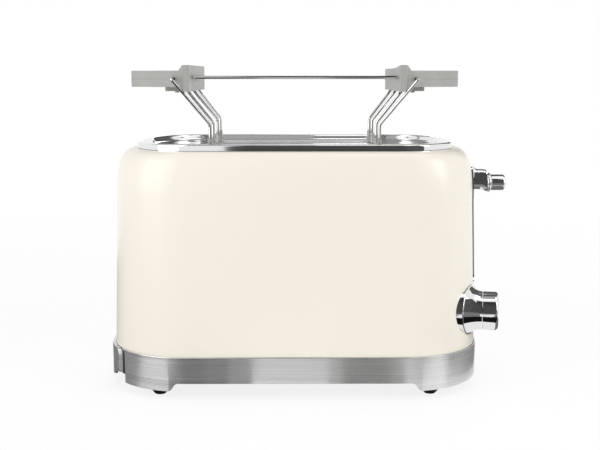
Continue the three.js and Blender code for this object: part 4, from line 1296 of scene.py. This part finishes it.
@dataclass(frozen=True)
class LegWires:
    """The rack's four bent legs with their silicone sleeves.

    The sleeve's profile gives pairs of radius and height over its foot.
    """

    wire_radius: float = 1.25 * MM
    top_reach: float = 96.4 * MM
    top_in: float = 47.5 * MM
    top_out: float = 68.5 * MM
    top_height: float = 252.3 * MM
    inner_top: float = 248.4 * MM
    foot_reach: float = 67.5 * MM
    foot_height: float = 187.0 * MM
    bend_height: float = 216.2 * MM
    bend_radius: float = 6.0 * MM
    hook_radius: float = 2.5 * MM
    slot_place: float = 39.0 * MM
    across: float = 15.85 * MM
    sleeve_low: float = 196.6 * MM
    sleeve_profile: Plan = (
        (1.6 * MM, 0.0),
        (2.0 * MM, 0.5 * MM),
        (2.0 * MM, 7.4 * MM),
        (1.8 * MM, 8.3 * MM),
        (1.4375 * MM, 9.0 * MM),
    )
    sleeve_sides: int = 24

    def wire(self, end: int, side: int) -> list[Vector]:
        """Draws one leg's wire.

        Args:
            end: -1 for the left end and 1 for the right one.
            side: -1 for the front slot and 1 for the rear one.

        Returns:
            The points that it follows.
        """
        share = (self.inner_top - self.bend_height) / (self.top_height - self.bend_height)
        inner_reach = self.foot_reach + (self.top_reach - self.foot_reach) * share
        near, far = self.slot_place + self.across, self.slot_place - self.across
        corners = [
            (self.top_reach, self.top_in, self.top_height),
            (self.top_reach, self.top_out, self.top_height),
            (self.foot_reach, near, self.bend_height),
            (self.foot_reach, near, self.foot_height),
            (self.foot_reach, far, self.foot_height),
            (self.foot_reach, far, self.bend_height),
            (inner_reach, far, self.inner_top),
        ]
        placed = [(x * end, y * side, z) for x, y, z in corners]
        return rounded_path(placed, [self.hook_radius, *[self.bend_radius] * 4])

    def build(self) -> list[Item]:
        """Builds the legs and their sleeves.

        Returns:
            The pieces.
        """
        pieces = []
        for end, end_name in ((-1, "left"), (1, "right")):
            for side, side_name in ((-1, "front"), (1, "rear")):
                name = f"{side_name}_{end_name}"
                wire = Draft().sweep(self.wire(end, side), self.wire_radius)
                leg = wire.build(f"leg_wire_{name}", WIRE_STEEL, Body.RACK)
                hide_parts(f"rack_leg_{name}")
                sleeves = Draft()
                for way in (-1, 1):
                    across = side * self.slot_place + way * self.across
                    frame_of = frame_at((end * self.foot_reach, across, self.sleeve_low), Axis.Z)
                    sleeves.turn(self.sleeve_profile, frame_of, self.sleeve_sides)
                pieces += [leg, sleeves.build(f"leg_sleeves_{name}", SILICONE, Body.RACK)]
        return pieces


@dataclass(frozen=True)
class ScrewHead:
    """A round screw head with a socket, facing down. Its profile is in shares of its radius."""

    radius: float
    profile: Plan = ((1.0, 0.0), (1.0, -0.25), (0.8, -0.5), (0.5, -0.6), (0.45, -0.3), (0.1, -0.25))
    sides: int = 24

    def draft(self, places: Sequence[Place]) -> Draft:
        """Drafts one head at each place.

        Args:
            places: The middles of the heads' seats.

        Returns:
            The draft.
        """
        draft = Draft()
        profile = [(self.radius * out, self.radius * up) for out, up in self.profile]
        for place in places:
            draft.turn(profile, frame_at(place, Axis.Z), self.sides)
        return draft


@dataclass(frozen=True)
class HandleTrim:
    """The parting line of each rack handle's mould, and the screws under it."""

    line_radius: float = 0.22 * MM
    line_sides: int = 8
    line_height: float = 252.0 * MM
    sweep_end: tuple[float, float] = (101.2 * MM, 50.4 * MM)
    outer_half_depth: float = 31.0 * MM
    arm_outer: float = 135.4 * MM
    corner: float = 4.0 * MM
    corner_steps: int = 12
    screw_reach: float = 96.0 * MM
    screw_across: float = 30.5 * MM
    screw_height: float = 242.2 * MM
    screw: ScrewHead = ScrewHead(2.1 * MM)

    def line(self, end: int) -> list[Vector]:
        """Draws the parting line round the arm.

        Args:
            end: -1 for the left handle and 1 for the right one.

        Returns:
            The points that it follows.
        """
        tower = Vector((self.sweep_end[0], -self.sweep_end[1], 0.0))
        start = Vector((self.arm_outer - self.corner, -self.outer_half_depth, 0.0))
        middle = Vector((self.arm_outer, -self.outer_half_depth + self.corner / 2, 0.0))
        finish = Vector((self.arm_outer, 0.0, 0.0))
        shares = [step / self.corner_steps for step in range(1, self.corner_steps + 1)]
        half = [tower, start, *(quadratic(start, middle, finish, share) for share in shares)]
        mirrored = [Vector((point.x, -point.y, 0.0)) for point in reversed(half[:-1])]
        return [Vector((point.x * end, point.y, self.line_height)) for point in [*half, *mirrored]]

    def build(self) -> list[Item]:
        """Builds both handles' trim.

        Returns:
            The pieces.
        """
        pieces = []
        for end, name in ((-1, "left"), (1, "right")):
            line = Draft().sweep(self.line(end), self.line_radius, self.line_sides)
            pieces.append(line.build(f"handle_line_{name}", GREY_PLASTIC, Body.RACK))
            reach, across, height = end * self.screw_reach, self.screw_across, self.screw_height
            screws = self.screw.draft([(reach, -across, height), (reach, across, height)])
            pieces.append(screws.build(f"handle_screws_{name}", SHEET_STEEL, Body.RACK))
        return pieces


@dataclass(frozen=True)
class LeverNeck:
    """The polished block between the end wall and the lever's collar.

    Each station gives, in millimetres, its place along the lever, its lowest and its
    highest point.
    """

    half_width: float = 6.0 * MM
    corner: float = 5.0 * MM
    corner_steps: int = 10
    crease: float = 60.0
    stations: tuple[Place, ...] = (
        (152.9, 157.9, 178.1),
        (153.6, 157.9, 177.0),
        (154.6, 157.9, 176.1),
        (156.2, 157.9, 175.5),
        (158.0, 157.9, 175.4),
        (160.5, 157.6, 175.4),
        (162.3, 156.9, 175.3),
        (163.4, 156.2, 175.0),
        (164.0, 155.9, 174.4),
    )

    def build(self) -> list[Item]:
        """Builds the neck.

        Returns:
            The piece.
        """
        rings = []
        for station in self.stations:
            along, low, high = (value * MM for value in station)
            section = rounded_ring(self.half_width, (high - low) / 2, self.corner, 0.0, self.corner_steps)
            middle = (low + high) / 2
            rings.append([Vector((along, point.x, middle + point.y)) for point in section])
        neck = Draft().loft(rings).build("grip_neck", CHROME, Body.CARRIAGE, self.crease)
        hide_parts("lever_neck")
        return [neck]


@dataclass(frozen=True)
class LeverGrip:
    """The polished cap and collar at the lever's end."""

    height: float = 163.8 * MM
    collar_start: float = 164.3 * MM
    collar_half: float = 1.6 * MM
    collar_radius: float = 8.6 * MM
    collar_bulge: float = 1.44 * MM
    collar_steps: int = 16
    cap_start: float = 167.8 * MM
    cap_tip: float = 180.5 * MM
    cap_radius: float = 6.95 * MM
    cap_edge: float = 3.0 * MM
    cap_chamfer: float = 0.4 * MM
    cap_steps: int = 10
    sides: int = 64

    def build(self) -> list[Item]:
        """Builds the collar and the cap.

        Returns:
            The pieces.
        """
        frame_of = frame_at((0.0, 0.0, self.height), Axis.X)
        collar = [(self.collar_radius - self.collar_half, self.collar_start)]
        for step in range(self.collar_steps + 1):
            angle = step / self.collar_steps * math.pi
            radius = self.collar_radius - self.collar_bulge * (1 - math.sin(angle))
            collar.append((radius, self.collar_start + self.collar_half * (1 - math.cos(angle))))
        cap = [
            (self.cap_radius - self.cap_chamfer, self.cap_start),
            (self.cap_radius, self.cap_start + self.cap_chamfer),
        ]
        for inward, rise in quarter(self.cap_steps):
            radius = self.cap_radius - self.cap_edge * inward
            cap.append((radius, self.cap_tip - self.cap_edge * (1 - rise)))
        pieces = [
            Draft().turn(profile, frame_of, self.sides).build(name, CHROME, Body.CARRIAGE, crease)
            for name, profile, crease in (
                ("grip_collar", collar, SOFT_CREASE),
                ("grip_cap", cap, CREASE),
            )
        ]
        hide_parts("lever_collar")
        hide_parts("lever_cap")
        return pieces


@dataclass(frozen=True)
class ElementRibbons:
    """Flat resistance ribbon wound round each mica board."""

    half_length: float = 77.3 * MM
    half_width: float = 1.0 * MM
    half_depth: float = 1.08 * MM
    low: float = 46.0 * MM
    high: float = 176.0 * MM
    count: int = 6
    corner_steps: int = 4
    places: tuple[tuple[str, float], ...] = (
        ("front_outer", -60.0 * MM),
        ("front_inner", -18.0 * MM),
        ("rear_inner", 18.0 * MM),
        ("rear_outer", 60.0 * MM),
    )

    def build(self) -> list[Item]:
        """Builds the ribbons of the four boards.

        Returns:
            The pieces.
        """
        pieces = []
        pitch = (self.high - self.low) / (self.count + 1)
        for name, across in self.places:
            draft = Draft()
            for n in range(1, self.count + 1):
                rings = [
                    rounded_ring(
                        self.half_length,
                        self.half_depth,
                        self.half_depth,
                        self.low + n * pitch + way * self.half_width,
                        self.corner_steps,
                        (0.0, across),
                    )
                    for way in (-1, 1)
                ]
                draft.loft(rings, ends=False)
            pieces.append(draft.build(f"ribbon_{name}", SHEET_STEEL))
        return pieces


@dataclass(frozen=True)
class BaseFittings:
    """Screws and a bare plate under the base."""

    underside: float = 12.8 * MM
    screw: ScrewHead = ScrewHead(3.2 * MM)
    screw_places: Plan = (
        (-0.128, -0.030),
        (-0.128, 0.030),
        (0.128, -0.030),
        (0.128, 0.030),
        (0.0, -0.070),
        (0.0, 0.070),
    )
    plate_half: tuple[float, float] = (0.026, 0.014)
    plate_corner: float = 2.0 * MM
    plate_steps: int = 6
    plate_thickness: float = 0.3 * MM

    def build(self) -> list[Item]:
        """Builds the screws and the plate.

        Returns:
            The pieces.
        """
        screws = self.screw.draft([(x, y, self.underside) for x, y in self.screw_places])
        outline = [
            rounded_ring(*self.plate_half, self.plate_corner, self.underside - depth, self.plate_steps)
            for depth in (0.0, self.plate_thickness)
        ]
        return [
            screws.build("base_screws", SHEET_STEEL),
            Draft().loft(outline).build("base_plate_bare", SHEET_STEEL),
        ]


class CarriedNodes:
    """Finishes for the CAD nodes that show as they are."""

    bevels = {
        "base_band": 0.35 * MM,
        "tray_panel": 0.3 * MM,
        "rack_handle_right": 1.1 * MM,
        "rack_handle_left": 1.1 * MM,
        "base_pan": 0.5 * MM,
    }
    bevel_steps = 3
    weld = 0.002 * MM
    crease = 38.0

    def build(self) -> list[Item]:
        """Dresses every node with its slot's finish and smooth shading, and softens the edges of those that
        have a bevel width.

        Returns:
            The nodes that show.
        """
        slots = {part["node"]: part["material_slot"] for part in frame["record"]["subparts"]}
        finishes = {finish.slot: finish for finish in CARRIED_FINISHES}
        shown = [item for item in frame["nodes"].values() if not item.hide_render]
        for item in shown:
            wire = item.name.startswith("rack_bar")
            finish = WIRE_STEEL if wire else finishes[slots[item.name]]
            item.data.materials.clear()
            item.data.materials.append(finish.material())
            self.soften(item)
        return shown

    def soften(self, item: Item) -> None:
        """Joins a node's split corners again and rounds its edges where it has a bevel width, through
        modifiers alone.

        Args:
            item: The node.
        """
        for name in ("custom_normal", "sharp_edge"):
            attribute = item.data.attributes.get(name)
            if attribute is not None:
                item.data.attributes.remove(attribute)
        item.data.polygons.foreach_set("use_smooth", [True] * len(item.data.polygons))
        item.modifiers.new("weld", "WELD").merge_threshold = self.weld
        if item.name in self.bevels:
            bevel = item.modifiers.new("bevel", "BEVEL")
            bevel.width = self.bevels[item.name]
            bevel.segments = self.bevel_steps
            bevel.limit_method = "ANGLE"
            bevel.angle_limit = math.radians(self.crease)
        item.modifiers.new("edges", "EDGE_SPLIT").split_angle = math.radians(self.crease)
        item.modifiers.new("normals", "WEIGHTED_NORMAL")


@dataclass(frozen=True)
class Softbox:
    """A flat studio lamp."""

    name: str
    place: Place
    size: tuple[float, float]
    power: float
    aim: Place = (0.0, 0.0, 0.12)

    def build(self) -> None:
        """Builds the lamp."""
        lamp = bpy.data.lights.new(self.name, "AREA")
        lamp.shape = "RECTANGLE"
        lamp.size, lamp.size_y = self.size
        lamp.energy = self.power
        item = bpy.data.objects.new(self.name, lamp)
        item.location = self.place
        way = Vector(self.aim) - Vector(self.place)
        item.rotation_euler = way.to_track_quat("-Z", "Y").to_euler()
        bpy.context.scene.collection.objects.link(item)


def stage_sheet(name: str, corners: Sequence[Place], sheet: NodeSheet) -> Item:
    """Builds a flat sheet of the stage.

    Args:
        name: Its name.
        corners: Its corners.
        sheet: Its material's nodes.

    Returns:
        The object.
    """
    mesh = bpy.data.meshes.new(name)
    mesh.from_pydata(corners, [], [tuple(range(len(corners)))])
    mesh.materials.append(sheet.material)
    item = bpy.data.objects.new(name, mesh)
    bpy.context.scene.collection.objects.link(item)
    return item


@dataclass(frozen=True)
class DarkCards:
    """The cards that give polished and brushed metal its dark parts. Only mirrors see them.

    A sloping card gives its name, tone and corners, and a level one its name, tone, height
    and plan. A strip lies in front of the band, between two lines from the place where the
    band mirrors the camera, and gives the lines' slopes and its tone.
    """

    front: float = -1.25
    left: float = -0.15
    right: float = 0.62
    hood: float = 1.6
    ground: float = 0.001
    sloping: tuple[tuple[str, float, tuple[Place, ...]], ...] = (
        (
            "card_front",
            0.08,
            ((left, front, 0), (right, front, 0), (right, front, hood), (left, front, hood)),
        ),
        (
            "card_right",
            0.1,
            ((right, front, 0), (1.05, -0.65, 0), (1.05, -0.65, hood), (right, front, hood)),
        ),
        ("card_behind", 0.12, ((0.1, 0.25, 1.3), (1.0, 0.25, 1.3), (1.3, 1.3, 0.45), (0.2, 1.3, 0.45))),
    )
    level: tuple[tuple[str, float, float, Plan], ...] = (
        ("card_hood", 0.05, hood, ((left, front), (right, front), (right, -0.75), (left, -0.75))),
        (
            "card_over",
            0.42,
            1.3,
            (
                *((-0.35, -0.75), (0.03, -0.75), (0.03, -0.2), (0.3, -0.2), (0.35, 0.1)),
                *((1.0, 0.4), (1.0, 1.5), (-1.0, 1.5), (-1.0, 0.4), (-0.35, 0.1)),
            ),
        ),
        ("card_black", 0.01, 0.04, ((0.1, -0.117), (0.22, -0.117), (0.22, -0.08), (0.116, -0.08))),
        ("card_bars", 0.12, ground, ((-0.25, front), (0.27, front), (0.13, -0.45), (-0.16, -0.45))),
        (
            "card_knob",
            0.2,
            ground,
            ((0.12, -0.45), (0.27, front), (right, front), (1.3, -0.3), (1.3, -0.19), (0.13, -0.19)),
        ),
        ("card_corner", 0.19, ground, ((0.163, -0.125), (0.3, -0.125), (0.3, 0.125), (0.163, 0.125))),
        (
            "card_side",
            0.22,
            ground,
            ((-1.3, -1.0), (-0.2, -1.0), (-0.112, -0.1), (-0.18, 0.5), (-1.3, 0.5)),
        ),
    )
    mirror: tuple[float, float] = (-0.01367, 0.658)
    strip_near: float = -0.092
    strip_far: float = -0.45
    strips: tuple[Place, ...] = (
        (-0.142, -0.098, 0.05),
        (-0.098, -0.071, 0.16),
        (-0.071, -0.045, 0.38),
        (0.037, 0.052, 0.70),
        (0.052, 0.103, 0.42),
        (0.103, 0.118, 0.60),
    )

    def build(self) -> None:
        """Builds the cards."""
        cards = list(self.sloping)
        for name, tone, height, plan in self.level:
            cards.append((name, tone, tuple((x, y, height) for x, y in plan)))
        near, far = self.strip_near, self.strip_far
        for n, (low, high, tone) in enumerate(self.strips):
            corners = tuple(
                (self.mirror[0] + slope * (self.mirror[1] - y), y, self.ground)
                for slope, y in ((low, far), (high, far), (high, near), (low, near))
            )
            cards.append((f"card_band_{n}", tone, corners))
        for name, tone, corners in cards:
            sheet = NodeSheet(name)
            sheet.set(Base_Color=(tone, tone, tone, 1.0), Roughness=1.0, Specular_IOR_Level=0.0)
            card = stage_sheet(name, corners, sheet)
            card.visible_camera = card.visible_diffuse = card.visible_shadow = False


def seen_rays(tree: bpy.types.NodeTree) -> Socket:
    """Tells whether a ray comes from the camera, a mirror or something clear.

    Args:
        tree: The nodes that it is added to.

    Returns:
        The socket, 1 where it does and 0 elsewhere.
    """
    path = tree.nodes.new("ShaderNodeLightPath")
    seen = path.outputs["Is Camera Ray"]
    for name in ("Is Glossy Ray", "Is Transmission Ray"):
        joins = {0: seen, 1: path.outputs[name]}
        seen = add_node(tree, "ShaderNodeMath", None, joins, operation="MAXIMUM").outputs["Value"]
    return seen


@dataclass(frozen=True)
class Studio:
    """The floor, the lamps, the white surroundings and the camera.

    The floor glows to the camera and in mirrors, fully from the fade's far end.
    """

    fill: float = 0.34
    lamps: tuple[Softbox, ...] = (
        Softbox("lamp_top", (0.0, 0.1, 1.5), (1.6, 1.2), 6.4, aim=(0.0, 0.0, 0.1)),
        Softbox("lamp_left", (-1.20, -0.85, 0.65), (1.2, 1.3), 12.0),
        Softbox("lamp_right", (1.3, -0.9, 0.8), (0.9, 1.1), 12.0),
        Softbox("lamp_back", (0.5, 1.4, 0.9), (1.2, 0.8), 6.0),
    )
    floor_half: float = 30.0
    floor_roughness: float = 0.85
    floor_shine: float = 0.2
    floor_glow: float = 0.85
    floor_fade: tuple[float, float] = (0.35, 1.1)
    camera_place: Place = (-0.01367, -0.83615, 0.2550)
    camera_pitch: float = 0.1520
    camera_turn: float = -0.0058
    sensor: float = 36.0
    lens: float = 58.69
    clip: tuple[float, float] = (0.01, 100.0)

    def build(self) -> None:
        """Builds everything round the object."""
        self.surroundings()
        self.floor()
        for lamp in self.lamps:
            lamp.build()
        DarkCards().build()
        self.camera()

    def surroundings(self) -> None:
        """Makes the world white to the camera and in mirrors, and an even fill elsewhere."""
        world = bpy.data.worlds.new("surroundings")
        world.use_nodes = True
        tree = world.node_tree
        tree.nodes.clear()
        joins = {0: seen_rays(tree)}
        for n, strength in ((1, self.fill), (2, 1.0)):
            values = {"Color": WHITE, "Strength": strength}
            joins[n] = add_node(tree, "ShaderNodeBackground", values).outputs["Background"]
        mix = add_node(tree, "ShaderNodeMixShader", None, joins)
        add_node(tree, "ShaderNodeOutputWorld", None, {"Surface": mix.outputs["Shader"]})
        bpy.context.scene.world = world

    def floor(self) -> None:
        """Lays a pale floor that is white to the camera, apart from the object's shadow."""
        sheet = NodeSheet("floor")
        tree = sheet.tree
        sheet.set(Base_Color=WHITE, Roughness=self.floor_roughness, Specular_IOR_Level=self.floor_shine)
        distance = add_node(tree, "ShaderNodeVectorMath", None, {0: sheet.place}, operation="LENGTH")
        near, far = self.floor_fade
        values = {"From Min": near, "From Max": far, "To Min": self.floor_glow, "To Max": 1.0}
        fade = add_node(tree, "ShaderNodeMapRange", values, {"Value": distance.outputs["Value"]})
        joins = {0: seen_rays(tree), 1: fade.outputs["Result"]}
        share = add_node(tree, "ShaderNodeMath", None, joins, operation="MULTIPLY")
        glow = add_node(tree, "ShaderNodeEmission")
        joins = {0: share.outputs["Value"], 1: sheet.surface.outputs["BSDF"], 2: glow.outputs["Emission"]}
        mix = add_node(tree, "ShaderNodeMixShader", None, joins)
        tree.links.new(mix.outputs["Shader"], tree.nodes["Material Output"].inputs["Surface"])
        reach = self.floor_half
        corners = ((-reach, -reach, 0.0), (reach, -reach, 0.0), (reach, reach, 0.0), (-reach, reach, 0.0))
        stage_sheet("floor", corners, sheet)

    def camera(self) -> None:
        """Sets up the camera at the photograph's angle."""
        lens = bpy.data.cameras.new("camera")
        lens.sensor_width = self.sensor
        lens.lens = self.lens
        lens.clip_start, lens.clip_end = self.clip
        item = bpy.data.objects.new("camera", lens)
        item.location = self.camera_place
        item.rotation_euler = (math.pi / 2 - self.camera_pitch, 0.0, self.camera_turn)
        bpy.context.scene.collection.objects.link(item)
        bpy.context.scene.camera = item


class Toaster:
    """The whole object, one class for each sub-assembly."""

    assemblies = (
        EnamelShell,
        BandBead,
        LeverBezel,
        PolishedTop,
        LeverNeck,
        LeverGrip,
        BrowningKnob,
        PushButtons,
        LegWires,
        HandleTrim,
        ElementRibbons,
        BaseFittings,
        CarriedNodes,
    )

    def build(self) -> None:
        """Builds the sub-assemblies in order and reports their pieces."""
        for assembly in self.assemblies:
            for item in assembly().build():
                LOG.info("%s: %s", assembly.__name__, item.name)


def main() -> None:
    """Builds the object and the studio round it."""
    logging.basicConfig(level=logging.INFO, format="%(name)s %(message)s")
    bpy.context.scene.view_settings.view_transform = "Standard"
    Toaster().build()
    Studio().build()


if __name__ == "__main__":
    main()
